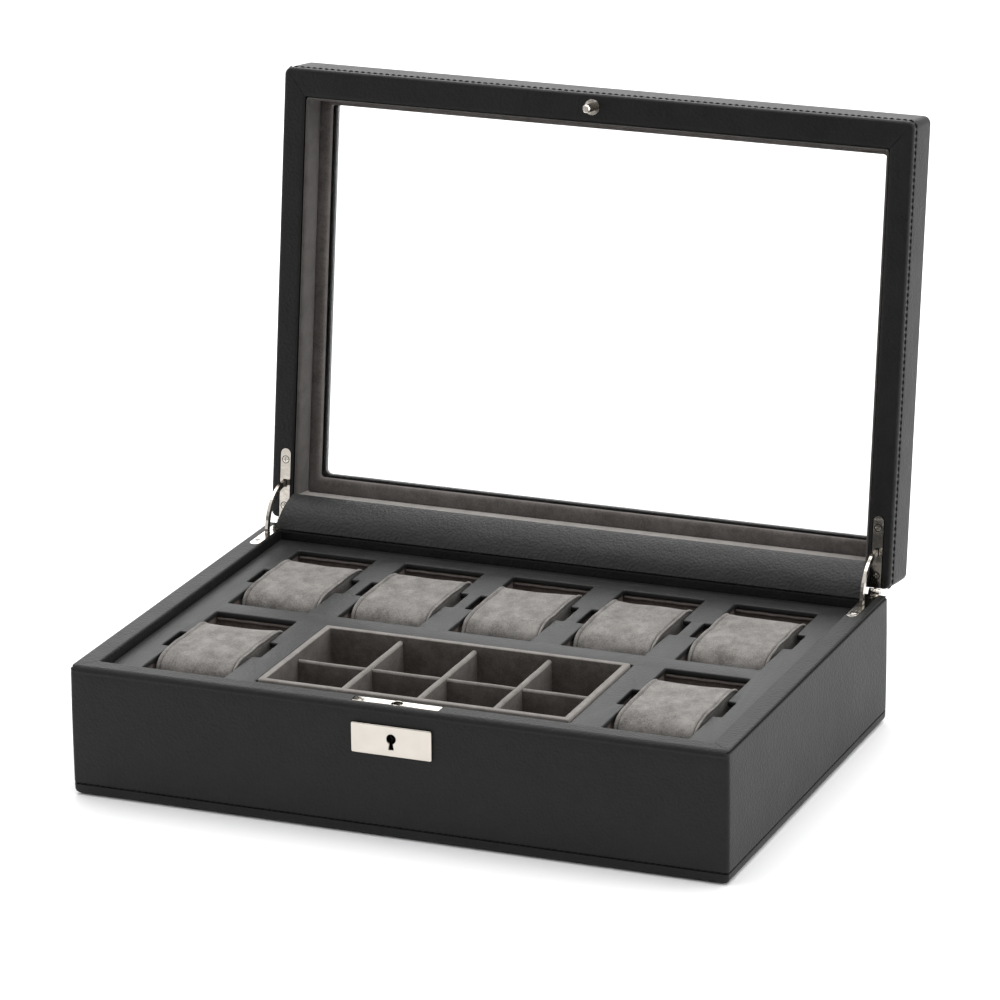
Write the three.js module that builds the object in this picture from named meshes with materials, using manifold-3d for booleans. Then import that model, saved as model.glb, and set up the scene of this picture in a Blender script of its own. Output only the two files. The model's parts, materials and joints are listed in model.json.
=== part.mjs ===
// Watch box with a glazed lid, seven cushions and a lift-out tray.
// Millimetres. +X right, +Y back, +Z up. Origin at the centre of the underside.
import * as THREE from "three";
import { mergeVertices } from "three/addons/utils/BufferGeometryUtils.js";
import Module from "manifold-3d";

const wasm = await Module();
wasm.setup();

// ---- driving dimensions -------------------------------------------------------------
const GAP = 0.3; // clearance between separate pieces
const MITRE = GAP / Math.SQRT2; // shift of a mitre face along its wall

const BOX_W = 352; // over the side walls
const BOX_D = 245; // front to back
const CASE_H = 69.5; // floor to the top of the case walls
const CASE_SIDE = 12; // wall thicknesses
const CASE_FRONT = 11.5;
const CASE_REAR = 12;
const CASE_CORNER_R = 2; // upright corners
const FOOT_R = 4; // rounding along the bottom edge
const CASE_LIP_R = 1.4; // rounding along the top outer edge

const LID_T = 30.5; // mating face to the top
const LID_Z = CASE_H + GAP; // mating face of the closed lid
const LID_SIDE = 12.8; // rail widths on the mating face
const LID_FRONT = 15.2;
const LID_REAR = 11;
const LID_CORNER_R = 4;
const LID_TOP_R = 3.2; // rounding round the lid's top edge
const LID_FRAME_T = 4.5; // top frame around the window
const OPEN_ANGLE = THREE.MathUtils.degToRad(97.3); // closed to the stop

const HINGE_Y = BOX_D / 2 + 1.7; // hinge axis, behind the rear wall
const HINGE_Z = CASE_H;
const HINGE_X = 168; // middle of each hinge leaf
const LEAF_W = 5.7;
const LEAF_T = 1.5;
const LEAF_FRONT_Y = 83.9;
const KNUCKLE_R = 2.1;
const PIN_R = 0.7;
const PIN_CLEARANCE = 0.08;
const STAY_R = 21.3; // middle of the curved stay
const STAY_RADIAL = 3.2;
const STAY_T = 1.6;
const STAY_HALF_ARC = THREE.MathUtils.degToRad(59.7);
const SCREW_YS = [90, 115.4];
const SCREW_HEAD_R = 1.9;
const SCREW_SHANK_R = 0.9;
const SCREW_LENGTH = 7;

const PAD_T = 1.5; // felt under the base
const FLOOR_T = 8; // bottom board
const FLOOR_Z = PAD_T + GAP;
const UNDERLAY_Z = FLOOR_Z + FLOOR_T + GAP;
const WELL_Z = 23.5; // top of the underlay
const PANEL_TOP = 64.5;
const PANEL_T = 3;
const PANEL_Z = PANEL_TOP - PANEL_T;

const PITCH = 62; // watch places, left to right
const PLACE_W = 45.2;
const PLACE_L = 91;
const REAR_ROW_Y = 50.7; // middles of the two rows
const FRONT_ROW_Y = -54.3;
const NOTCH_L = 22; // finger notch
const NOTCH_D = 4.8;
const LINER_T = 1;
const LINER_SETBACK = 0.8; // liner stands back behind the panel's edge

const TRAY_W = 167.4;
const TRAY_L = 87;
const TRAY_Z = WELL_Z + GAP;
const TRAY_TOP = 65.5;
const TRAY_WALL = 3.6;
const TRAY_FLOOR = 2;
const TRAY_R = 1.2; // upright corners
const TRAY_FOOT_R = 0.6;
const TRAY_RIM_R = 0.9;
const TRAY_CLEARANCE = 0.8; // round the tray in its hole
const DIVIDER_T = 3;
const DIVIDER_TOP = 63.3;
const CROSS_T = 2.4;
const CROSS_TOP = 61.8;
const DIVIDER_XS = [-1, 0, 1].map((i) => (i * (TRAY_W - 2 * TRAY_WALL + DIVIDER_T)) / 4);

const CUSHION_W = 43.2;
const CUSHION_L = 68;
const CUSHION_TOP = 67.1;
const CUSHION_SHIFT = 1.2; // middle, behind the middle of its place
const CUSHION_ROUND = 10; // rounding of the ends, seen from the side
const CUSHION_CROWN = 1.4;
const CUSHION_BEVEL = 1.3; // along the side edges

const LOCK_Y = -115.4; // line of the lid stud and the bolt
const PLATE_HALF_W = 23.3;
const PLATE_L = 6;
const PLATE_T = 1.5;
const PLATE_HOLE_R = 2.9;
const SHIELD_W = 43; // keyhole plate on the front
const SHIELD_H = 15.8;
const SHIELD_T = 1.1;
const SHIELD_EASE = 0.5; // step round its edge
const SHIELD_Z = 52.2;
const KEYHOLE_Z = 53.8;
const KEYHOLE_R = 2.45;
const KEYHOLE_L = 6; // slot below the round hole
const KEYHOLE_TOP_W = 1.6;
const KEYHOLE_FOOT_W = 2.6;
const KEY_POST_R = 0.8;
const LOCK_CASE_W = 38;
const LOCK_CASE_D = 6.2;
const LOCK_CASE_Z = 43.5;
const LOCK_SHEET = 0.7;
const STUD_R = 2.2;
const STUD_FLANGE_R = 4.2;
const STUD_LENGTH = 9.5;
const STUD_FLANGE_T = 1;
const STUD_EYE = 3.4; // height of the eye for the bolt
const BOLT_Z = 63.8;
const BOLT_H = 2.2;
const BOLT_T = 2;
const BOLT_TAIL_X = -17.6;
const BOLT_NOSE_X = -STUD_R - 1.2; // drawn back, clear of the stud
const BOLT_PLATE_X = -10.4; // right edge of the plate the key turns against
const BOLT_PLATE_Z = 50.5;
const TALON_X = [-15.2, -12.6]; // notch for the key
const TALON_TOP = 53.9;

const GLASS_T = 3;
const GLASS_Z = LID_Z + 22.8;
const BEAD_T = 4.4;
const BEAD_X = 156.2; // inner edges of the glass bead
const BEAD_FRONT_Y = -101.7;
const BEAD_REAR_Y = 102;
const WINDOW_X = 155.6; // clear window in the top frame
const WINDOW_FRONT_Y = -101.8;
const WINDOW_REAR_Y = 101.1;
const WINDOW_R = 3;
const LINING_T = 1.5;

const SPINE_T = 1; // leather strip between the rear wall and the lid
const SPINE_RISE = 1.2; // how far its middle bulges forward
const SPINE_LAP = 2.9; // how far it reaches past the lid rail's inner edge

// ---- materials ------------------------------------------------------------------------
const LOOKS = {
  leather: { color: 0x2c2c2b, roughness: 0.55, metalness: 0 },
  suede: { color: 0x8e8984, roughness: 0.95, metalness: 0 },
  suede_dark: { color: 0x4a423d, roughness: 0.97, metalness: 0 },
  nickel: { color: 0xd9d4cc, roughness: 0.18, metalness: 1 },
  steel: { color: 0x9b9a98, roughness: 0.35, metalness: 1 },
  glass: { color: 0xdfeee9, roughness: 0.03, metalness: 0 },
  board: { color: 0x8a6a48, roughness: 0.9, metalness: 0 },
  felt: { color: 0x1c1c1d, roughness: 1, metalness: 0 },
  foam: { color: 0x3b3b3d, roughness: 1, metalness: 0 },
};

// ---- solids -----------------------------------------------------------------------------
function solid(geometry) {
  const plain = geometry.clone();
  for (const name of Object.keys(plain.attributes)) {
    if (name !== "position") plain.deleteAttribute(name);
  }
  const merged = mergeVertices(plain, 1e-4);
  return new wasm.Manifold(
    new wasm.Mesh({
      numProp: 3,
      vertProperties: new Float32Array(merged.attributes.position.array),
      triVerts: new Uint32Array(merged.index.array),
    }),
  );
}

function geometryOf(body) {
  const mesh = body.getMesh();
  const geometry = new THREE.BufferGeometry();
  geometry.setAttribute("position", new THREE.BufferAttribute(mesh.vertProperties, 3));
  geometry.setIndex(new THREE.BufferAttribute(mesh.triVerts, 1));
  geometry.computeVertexNormals();
  return geometry;
}

function meshOf(name, body, look) {
  const material = new THREE.MeshStandardMaterial({ ...LOOKS[look], name: look });
  const mesh = new THREE.Mesh(geometryOf(body), material);
  mesh.name = name;
  return mesh;
}

function box(x0, x1, y0, y1, z0, z1) {
  const geometry = new THREE.BoxGeometry(x1 - x0, y1 - y0, z1 - z0);
  geometry.translate((x0 + x1) / 2, (y0 + y1) / 2, (z0 + z1) / 2);
  return solid(geometry);
}

function prism(points, z0, z1) {
  const shape = new THREE.Shape(points.map(([x, y]) => new THREE.Vector2(x, y)));
  const geometry = new THREE.ExtrudeGeometry(shape, { depth: z1 - z0, bevelEnabled: false });
  geometry.translate(0, 0, z0);
  return solid(geometry);
}

// A prism drawn in the Y-Z plane and pushed along X.
function prismAlongX(points, x0, x1) {
  const shape = new THREE.Shape(points.map(([y, z]) => new THREE.Vector2(y, z)));
  const geometry = new THREE.ExtrudeGeometry(shape, { depth: x1 - x0, bevelEnabled: false });
  geometry.applyMatrix4(
    new THREE.Matrix4().set(0, 0, 1, x0, 1, 0, 0, 0, 0, 1, 0, 0, 0, 0, 0, 1),
  );
  return solid(geometry);
}

// A prism drawn in the X-Z plane and pushed along Y.
function prismAlongY(points, y0, y1) {
  const shape = new THREE.Shape(points.map(([x, z]) => new THREE.Vector2(x, z)));
  const geometry = new THREE.ExtrudeGeometry(shape, { depth: y1 - y0, bevelEnabled: false });
  geometry.applyMatrix4(
    new THREE.Matrix4().set(1, 0, 0, 0, 0, 0, -1, y1, 0, 1, 0, 0, 0, 0, 0, 1),
  );
  return solid(geometry);
}

function lathe(profile, x, y, z, segments = 16) {
  const points = profile.map(([r, h]) => new THREE.Vector2(r, h));
  const geometry = new THREE.LatheGeometry(points, segments);
  geometry.rotateX(Math.PI / 2);
  geometry.translate(x, y, z);
  return solid(geometry);
}

function rod(radius, length, segments = 16) {
  return solid(new THREE.CylinderGeometry(radius, radius, length, segments));
}

function rodAlongX(radius, x0, x1, y, z, segments = 16) {
  const geometry = new THREE.CylinderGeometry(radius, radius, x1 - x0, segments);
  geometry.rotateZ(Math.PI / 2);
  geometry.translate((x0 + x1) / 2, y, z);
  return solid(geometry);
}

function rectContour(halfW, halfD, radius, segments) {
  const points = [];
  for (let corner = 0; corner < 4; corner += 1) {
    const sx = corner === 0 || corner === 3 ? 1 : -1;
    const sy = corner < 2 ? 1 : -1;
    for (let i = 0; i <= segments; i += 1) {
      const a = (corner + i / segments) * (Math.PI / 2);
      points.push([
        sx * (halfW - radius) + radius * Math.cos(a),
        sy * (halfD - radius) + radius * Math.sin(a),
      ]);
    }
  }
  return points;
}

// A slab with rounded corners whose outline is drawn in by `inset` at each height.
function slab(width, depth, cornerR, levels, segments = 4) {
  const rings = levels.map(({ z, inset }) => {
    const radius = Math.max(cornerR - inset, 0.4);
    return rectContour(width / 2 - inset, depth / 2 - inset, radius, segments)
      .map(([x, y]) => [x, y, z]);
  });
  const n = rings[0].length;
  const index = [];
  for (let level = 0; level + 1 < rings.length; level += 1) {
    for (let i = 0; i < n; i += 1) {
      const a = level * n + i;
      const b = level * n + ((i + 1) % n);
      index.push(a, b, b + n, a, b + n, a + n);
    }
  }
  const top = (rings.length - 1) * n;
  for (let i = 1; i + 1 < n; i += 1) {
    index.push(0, i + 1, i);
    index.push(top, top + i, top + i + 1);
  }
  const geometry = new THREE.BufferGeometry();
  const flat = new Float32Array(rings.flat(2));
  geometry.setAttribute("position", new THREE.BufferAttribute(flat, 3));
  geometry.setIndex(index);
  return solid(geometry);
}

// Heights and insets that round the bottom edge by r0 and the top edge by r1.
function roundedLevels(z0, z1, r0, r1, steps = 4) {
  const levels = [];
  for (let i = 0; i <= steps; i += 1) {
    const a = (i / steps) * (Math.PI / 2);
    levels.push({ z: z0 + r0 * (1 - Math.sin(a)), inset: r0 * (1 - Math.cos(a)) });
  }
  levels.reverse();
  for (let i = 0; i <= steps; i += 1) {
    const a = (i / steps) * (Math.PI / 2);
    levels.push({ z: z1 - r1 * (1 - Math.sin(a)), inset: r1 * (1 - Math.cos(a)) });
  }
  return levels;
}

function mirrored(points) {
  return points.map(([x, y]) => [-x, y]).reverse();
}

// Outlines of four walls with mitred ends, drawn in plan.
function mitredWalls(side, front, rear) {
  const w = BOX_W / 2;
  const d = BOX_D / 2;
  const right = [
    [w, -d + MITRE],
    [w, d - MITRE],
    [w - side, d - rear - MITRE],
    [w - side, -d + front + MITRE],
  ];
  return {
    front: [
      [-w + MITRE, -d],
      [w - MITRE, -d],
      [w - side - MITRE, -d + front],
      [-w + side + MITRE, -d + front],
    ],
    rear: [
      [-w + MITRE, d],
      [-w + side + MITRE, d - rear],
      [w - side - MITRE, d - rear],
      [w - MITRE, d],
    ],
    right,
    left: mirrored(right),
  };
}

// ---- hinge shapes shared by the case and the lid ------------------------------------------
function strapOutline(x, grow) {
  const half = LEAF_W / 2 + grow;
  const back = grow ? BOX_D / 2 + 5 : HINGE_Y - KNUCKLE_R - GAP;
  const points = [[x + half, back], [x - half, back]];
  const steps = 8;
  for (let i = 0; i <= steps; i += 1) {
    const a = Math.PI + (i / steps) * Math.PI;
    points.push([
      x + half * Math.cos(a),
      LEAF_FRONT_Y + LEAF_W / 2 + half * Math.sin(a),
    ]);
  }
  return points;
}

function screwProfile(grow) {
  const cone = SCREW_HEAD_R - SCREW_SHANK_R;
  return [
    [0, -SCREW_LENGTH - grow],
    [SCREW_SHANK_R + grow, -SCREW_LENGTH - grow + 0.6],
    [SCREW_SHANK_R + grow, -cone],
    [SCREW_HEAD_R + grow, grow ? 0 : -0.05],
    [SCREW_HEAD_R + grow, grow ? 0.5 : -0.02],
    [0, grow ? 0.5 : 0.1],
  ];
}

function screwBody(grow) {
  return lathe(screwProfile(grow), 0, 0, 0, 14);
}

// Faces up (+Z) in the case, down (-Z) in the lid.
function screwAt(x, y, z, up, grow) {
  const body = up ? screwBody(grow) : screwBody(grow).rotate([180, 0, 0]);
  return body.translate([x, y, z]);
}

function slottedScrew(x, y, z, up) {
  const s = up ? 1 : -1;
  const slot = 0.5;
  const arm = SCREW_HEAD_R * 0.62;
  const low = z - s * slot;
  const high = z + s * 1;
  const z0 = Math.min(low, high);
  const z1 = Math.max(low, high);
  return screwAt(x, y, z, up, 0)
    .subtract(box(x - arm, x + arm, y - 0.25, y + 0.25, z0, z1))
    .subtract(box(x - 0.25, x + 0.25, y - arm, y + arm, z0, z1));
}

// Space the two leaves, the stay and the screws take out of a wall or rail.
function hingePocket(x, up) {
  const face = up ? CASE_H : LID_Z;
  const s = up ? -1 : 1;
  const flatten = (a, b) => [Math.min(a, b), Math.max(a, b)];
  const [r0, r1] = flatten(face - s, face + s * (LEAF_T + GAP));
  const reach = STAY_R + STAY_RADIAL / 2 + 0.5;
  const [p0, p1] = flatten(face, face + s * reach);
  const slotHalf = STAY_T / 2 + 0.4;
  const nearY = HINGE_Y - 9.5;
  let pocket = prism(strapOutline(x, GAP), r0, r1);
  pocket = pocket.add(box(x - slotHalf, x + slotHalf, HINGE_Y - reach, nearY, p0, p1));
  for (const y of SCREW_YS) {
    const hole = rod(SCREW_SHANK_R + GAP, 2 * (SCREW_LENGTH + GAP), 12)
      .rotate([90, 0, 0])
      .translate([x, y, face]);
    pocket = pocket.add(hole);
  }
  return pocket;
}

function hingeLeaf(x, up) {
  const face = up ? CASE_H : LID_Z;
  const s = up ? -1 : 1;
  const z0 = Math.min(face, face + s * LEAF_T);
  const z1 = Math.max(face, face + s * LEAF_T);
  const barrels = up ? [[-3, -1.1], [1.1, 3]] : [[-0.8, 0.8]];
  let leaf = prism(strapOutline(x, 0), z0, z1);
  for (const [a, b] of barrels) {
    leaf = leaf
      .add(box(x + a, x + b, BOX_D / 2 - 1, HINGE_Y, z0, z1))
      .add(rodAlongX(KNUCKLE_R, x + a, x + b, HINGE_Y, HINGE_Z));
  }
  leaf = leaf.subtract(
    rodAlongX(PIN_R + PIN_CLEARANCE, x - 4, x + 4, HINGE_Y, HINGE_Z),
  );
  const slotFar = HINGE_Y - STAY_R - STAY_RADIAL / 2 - 0.5;
  const slotNear = HINGE_Y - STAY_R + STAY_RADIAL / 2 + 0.6;
  const slotHalf = STAY_T / 2 + 0.3;
  leaf = leaf.subtract(box(x - slotHalf, x + slotHalf, slotFar, slotNear, z0 - 1, z1 + 1));
  for (const y of SCREW_YS) {
    leaf = leaf.subtract(screwAt(x, y, face, up, 0.15));
  }
  return leaf;
}

function stayArc(x) {
  const steps = 20;
  const outer = [];
  const inner = [];
  for (let i = 0; i <= steps; i += 1) {
    const a = Math.PI - STAY_HALF_ARC + (2 * STAY_HALF_ARC * i) / steps;
    const far = STAY_R + STAY_RADIAL / 2;
    const near = STAY_R - STAY_RADIAL / 2;
    outer.push([HINGE_Y + far * Math.cos(a), HINGE_Z + far * Math.sin(a)]);
    inner.push([HINGE_Y + near * Math.cos(a), HINGE_Z + near * Math.sin(a)]);
  }
  return prismAlongX([...outer, ...inner.reverse()], x - STAY_T / 2, x + STAY_T / 2);
}

// ---- lock shapes ------------------------------------------------------------------------
function keyhole(grow, y0, y1) {
  const radius = KEYHOLE_R + grow;
  const round = new THREE.CylinderGeometry(radius, radius, y1 - y0, 20);
  round.translate(0, (y0 + y1) / 2, KEYHOLE_Z);
  const foot = KEYHOLE_Z - KEYHOLE_L - grow;
  const wide = KEYHOLE_FOOT_W / 2 + grow;
  const narrow = KEYHOLE_TOP_W / 2 + grow;
  const slot = prismAlongY(
    [
      [-wide, foot],
      [wide, foot],
      [narrow, KEYHOLE_Z],
      [-narrow, KEYHOLE_Z],
    ],
    y0,
    y1,
  );
  return solid(round).add(slot);
}

function lockPocket() {
  const half = LOCK_CASE_W / 2 + GAP;
  const y0 = LOCK_Y - LOCK_CASE_D / 2 - GAP;
  const y1 = LOCK_Y + LOCK_CASE_D / 2 + GAP;
  const plateHalf = PLATE_HALF_W + GAP;
  const plateZ = CASE_H - PLATE_T - GAP;
  const p0 = LOCK_Y - PLATE_L / 2 - GAP;
  const p1 = LOCK_Y + PLATE_L / 2 + GAP;
  return box(-half, half, y0, y1, LOCK_CASE_Z - GAP, CASE_H + 1)
    .add(box(-plateHalf, plateHalf, p0, p1, plateZ, CASE_H + 1))
    .add(keyhole(0.5, -BOX_D / 2 - 1, LOCK_Y));
}

// ---- the case -----------------------------------------------------------------------------
function caseWalls() {
  const levels = roundedLevels(0, CASE_H, FOOT_R, CASE_LIP_R);
  const block = slab(BOX_W, BOX_D, CASE_CORNER_R, levels);
  const plans = mitredWalls(CASE_SIDE, CASE_FRONT, CASE_REAR);
  const walls = {};
  for (const [side, plan] of Object.entries(plans)) {
    walls[side] = block.intersect(prism(plan, -1, CASE_H + 1));
  }
  walls.left = walls.left.subtract(hingePocket(-HINGE_X, true));
  walls.right = walls.right.subtract(hingePocket(HINGE_X, true));
  walls.rear = walls.rear
    .subtract(hingePocket(-HINGE_X, true))
    .subtract(hingePocket(HINGE_X, true));
  walls.front = walls.front.subtract(lockPocket());
  return Object.entries(walls).map(([side, body]) =>
    meshOf(`case_wall_${side}`, body, "leather"),
  );
}

function insideBox(z0, z1, margin) {
  const halfW = BOX_W / 2 - CASE_SIDE - margin;
  const front = -BOX_D / 2 + CASE_FRONT + margin;
  const rear = BOX_D / 2 - CASE_REAR - margin;
  return box(-halfW, halfW, front, rear, z0, z1);
}

function caseFloor() {
  return [
    meshOf("underside_felt", insideBox(0, PAD_T, GAP), "felt"),
    meshOf("bottom_board", insideBox(FLOOR_Z, FLOOR_Z + FLOOR_T, GAP), "board"),
    meshOf("foam_underlay", insideBox(UNDERLAY_Z, WELL_Z, GAP), "foam"),
  ];
}

const REAR_XS = [-2, -1, 0, 1, 2].map((i) => i * PITCH);
const FRONT_XS = [-2, 2].map((i) => i * PITCH);
const PLACES = [
  ...REAR_XS.map((x, i) => ({ name: `rear_${i + 1}`, x, y: REAR_ROW_Y })),
  ...FRONT_XS.map((x, i) => ({ name: `front_${i + 1}`, x, y: FRONT_ROW_Y })),
];

// Outline of a watch place with its two finger notches.
function placeOutline(x, y, grow) {
  const w = PLACE_W / 2 + grow;
  const l = PLACE_L / 2 + grow;
  const n = NOTCH_L / 2 + grow;
  const d = PLACE_W / 2 + NOTCH_D + grow;
  const right = [[w, -l], [w, -n], [d, -n], [d, n], [w, n], [w, l]];
  return [...right, ...mirrored(right)].map(([a, b]) => [x + a, y + b]);
}

function trayHole(z0, z1) {
  const w = TRAY_W / 2 + TRAY_CLEARANCE;
  const l = TRAY_L / 2 + TRAY_CLEARANCE;
  return box(-w, w, FRONT_ROW_Y - l, FRONT_ROW_Y + l, z0, z1);
}

function insert() {
  let panel = insideBox(PANEL_Z, PANEL_TOP, GAP);
  let block = insideBox(WELL_Z + GAP, PANEL_Z - GAP, GAP);
  const clear = LINER_SETBACK + LINER_T + GAP;
  for (const { x, y } of PLACES) {
    panel = panel.subtract(prism(placeOutline(x, y, 0), PANEL_Z - 1, PANEL_TOP + 1));
    block = block.subtract(prism(placeOutline(x, y, clear), WELL_Z - 1, PANEL_Z + 1));
  }
  panel = panel.subtract(trayHole(PANEL_Z - 1, PANEL_TOP + 1));
  block = block.subtract(trayHole(WELL_Z - 1, PANEL_Z + 1));
  return [
    meshOf("insert_panel", panel, "leather"),
    meshOf("insert_block", block, "board"),
  ];
}

function wellLiners() {
  const low = WELL_Z + GAP;
  const high = PANEL_Z - GAP;
  const outer = LINER_SETBACK + LINER_T;
  return PLACES.map(({ name, x, y }) => {
    const body = prism(placeOutline(x, y, outer), low, high).subtract(
      prism(placeOutline(x, y, LINER_SETBACK), low + LINER_T, high + 1),
    );
    return meshOf(`well_liner_${name}`, body, "suede_dark");
  });
}

// ---- cushions -------------------------------------------------------------------------------
function cushionProfile(bottom) {
  const half = CUSHION_L / 2;
  const r = CUSHION_ROUND;
  const middleZ = (bottom + CUSHION_TOP) / 2;
  const points = [];
  const steps = 6;
  const crownSteps = 6;
  const shoulder = CUSHION_TOP - CUSHION_CROWN;
  for (let i = 0; i <= steps; i += 1) {
    const a = (i / steps) * (Math.PI / 2);
    points.push([half - r + r * Math.cos(a), shoulder - r + r * Math.sin(a)]);
  }
  for (let i = 1; i < crownSteps; i += 1) {
    const t = i / crownSteps;
    const bulge = 4 * CUSHION_CROWN * t * (1 - t);
    points.push([(half - r) * (1 - 2 * t), shoulder + bulge]);
  }
  const front = points.slice(0, steps + 1).map(([y, z]) => [-y, z]).reverse();
  const upper = [...points, ...front];
  const lower = upper.map(([y, z]) => {
    const w = 1 - 0.06 * ((z - middleZ) / (CUSHION_TOP - middleZ));
    return [y * w, Math.max(2 * middleZ - z, bottom)];
  });
  return [...upper, ...lower.reverse()];
}

function cushions() {
  const bottom = WELL_Z + GAP + LINER_T + GAP;
  const bevel = CUSHION_BEVEL;
  const shape = new THREE.Shape(
    cushionProfile(bottom + bevel).map(([y, z]) => new THREE.Vector2(y, z)),
  );
  const geometry = new THREE.ExtrudeGeometry(shape, {
    depth: CUSHION_W - 2 * bevel,
    bevelEnabled: true,
    bevelThickness: bevel,
    bevelSize: bevel,
    bevelOffset: -bevel,
    bevelSegments: 2,
  });
  geometry.applyMatrix4(
    new THREE.Matrix4().set(0, 0, 1, bevel - CUSHION_W / 2, 1, 0, 0, 0, 0, 1, 0, 0, 0, 0, 0, 1),
  );
  const body = solid(geometry);
  return PLACES.map(({ name, x, y }) =>
    meshOf(`cushion_${name}`, body.translate([x, y + CUSHION_SHIFT, 0]), "suede"),
  );
}

// ---- lift-out tray ----------------------------------------------------------------------------
function tray() {
  const levels = roundedLevels(TRAY_Z, TRAY_TOP, TRAY_FOOT_R, TRAY_RIM_R, 3);
  const outside = slab(TRAY_W, TRAY_L, TRAY_R, levels, 3);
  const inW = TRAY_W / 2 - TRAY_WALL;
  const inL = TRAY_L / 2 - TRAY_WALL;
  const inside = box(-inW, inW, -inL, inL, TRAY_Z + TRAY_FLOOR, TRAY_TOP + 1);
  const middle = (TRAY_Z + DIVIDER_TOP) / 2;
  const parts = [["tray_box", outside.subtract(inside)]];
  const low = TRAY_Z + TRAY_FLOOR + GAP;
  const lap = GAP / 2;
  let cross = box(-inW + GAP, inW - GAP, -CROSS_T / 2, CROSS_T / 2, low, CROSS_TOP);
  DIVIDER_XS.forEach((x, i) => {
    const half = DIVIDER_T / 2;
    const divider = box(x - half, x + half, -inL + GAP, inL - GAP, low, DIVIDER_TOP);
    const slotY = CROSS_T / 2 + GAP;
    const slot = box(x - half - 1, x + half + 1, -slotY, slotY, low - 1, middle + lap);
    parts.push([`tray_divider_${i + 1}`, divider.subtract(slot)]);
    const slotX = half + GAP;
    cross = cross.subtract(
      box(x - slotX, x + slotX, -CROSS_T, CROSS_T, middle - lap, CROSS_TOP + 1),
    );
  });
  parts.push(["tray_cross_divider", cross]);
  return parts.map(([name, body]) =>
    meshOf(name, body.translate([0, FRONT_ROW_Y, 0]), "suede"),
  );
}

// ---- lock ---------------------------------------------------------------------------------------
function lockParts() {
  const front = -BOX_D / 2 - GAP;
  const shieldZ0 = SHIELD_Z - SHIELD_H / 2;
  const shieldZ1 = SHIELD_Z + SHIELD_H / 2;
  const ease = SHIELD_EASE;
  const shield = box(
    -SHIELD_W / 2, SHIELD_W / 2, front - SHIELD_T + ease, front, shieldZ0, shieldZ1,
  )
    .add(box(
      -SHIELD_W / 2 + ease, SHIELD_W / 2 - ease, front - SHIELD_T, front,
      shieldZ0 + ease, shieldZ1 - ease,
    ))
    .subtract(keyhole(0, front - 5, front + 5));
  const plateZ = CASE_H - PLATE_T;
  const hole = rod(PLATE_HOLE_R, 10, 24).rotate([90, 0, 0]).translate([0, LOCK_Y, CASE_H]);
  const plate = box(
    -PLATE_HALF_W, PLATE_HALF_W, LOCK_Y - PLATE_L / 2, LOCK_Y + PLATE_L / 2, plateZ, CASE_H,
  ).subtract(hole);
  const halfW = LOCK_CASE_W / 2;
  const halfD = LOCK_CASE_D / 2;
  const caseTop = plateZ - GAP;
  const t = LOCK_SHEET;
  const lockCase = box(-halfW, halfW, LOCK_Y - halfD, LOCK_Y + halfD, LOCK_CASE_Z, caseTop)
    .subtract(box(
      -halfW + t, halfW - t, LOCK_Y - halfD + t, LOCK_Y + halfD - t,
      LOCK_CASE_Z + t, caseTop + 1,
    ))
    .subtract(keyhole(0.4, LOCK_Y - halfD - 1, LOCK_Y - halfD + t + 0.1));
  const postY0 = LOCK_Y - halfD + t + GAP;
  const postY1 = LOCK_Y + halfD - t - GAP / 2;
  const post = rod(KEY_POST_R, postY1 - postY0, 12).translate([0, (postY0 + postY1) / 2, KEYHOLE_Z]);
  return [
    meshOf("keyhole_plate", shield, "nickel"),
    meshOf("lock_top_plate", plate, "nickel"),
    meshOf("lock_case", lockCase, "steel"),
    meshOf("key_post", post, "steel"),
  ];
}

function lockBolt() {
  const y0 = LOCK_Y - BOLT_T / 2;
  const y1 = LOCK_Y + BOLT_T / 2;
  const z0 = BOLT_Z - BOLT_H / 2;
  const z1 = BOLT_Z + BOLT_H / 2;
  const bar = box(BOLT_TAIL_X, BOLT_NOSE_X, y0, y1, z0, z1);
  const plate = box(BOLT_TAIL_X, BOLT_PLATE_X, y0, y1, BOLT_PLATE_Z, z1);
  const [t0, t1] = TALON_X;
  const talon = box(t0, t1, y0 - 1, y1 + 1, BOLT_PLATE_Z - 1, TALON_TOP);
  return meshOf("lock_bolt", bar.add(plate).subtract(talon), "steel");
}

// ---- lid, drawn closed --------------------------------------------------------------------------
function lidRails() {
  const top = LID_Z + LID_T;
  const frameZ = top - LID_FRAME_T;
  const block = slab(BOX_W, BOX_D, LID_CORNER_R, roundedLevels(LID_Z, top, 1.2, LID_TOP_R));
  const plans = mitredWalls(LID_SIDE, LID_FRONT, LID_REAR);
  const rails = {};
  for (const [side, plan] of Object.entries(plans)) {
    rails[side] = block.intersect(prism(plan, LID_Z - 1, frameZ - GAP));
  }
  rails.left = rails.left.subtract(hingePocket(-HINGE_X, false));
  rails.right = rails.right.subtract(hingePocket(HINGE_X, false));
  rails.rear = rails.rear
    .subtract(hingePocket(-HINGE_X, false))
    .subtract(hingePocket(HINGE_X, false));
  rails.front = rails.front.subtract(
    rod(STUD_FLANGE_R + GAP, 2 * (STUD_FLANGE_T + GAP), 24)
      .rotate([90, 0, 0])
      .translate([0, LOCK_Y, LID_Z]),
  );
  const contour = rectContour(
    WINDOW_X, (WINDOW_REAR_Y - WINDOW_FRONT_Y) / 2, WINDOW_R, 4,
  ).map(([x, y]) => [x, y + (WINDOW_REAR_Y + WINDOW_FRONT_Y) / 2]);
  const frame = block
    .intersect(box(-BOX_W, BOX_W, -BOX_D, BOX_D, frameZ, top + 1))
    .subtract(prism(contour, frameZ - 1, top + 1));
  const meshes = Object.entries(rails).map(([side, body]) =>
    meshOf(`lid_rail_${side}`, body, "leather"),
  );
  return [...meshes, meshOf("lid_top_frame", frame, "leather")];
}

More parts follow.
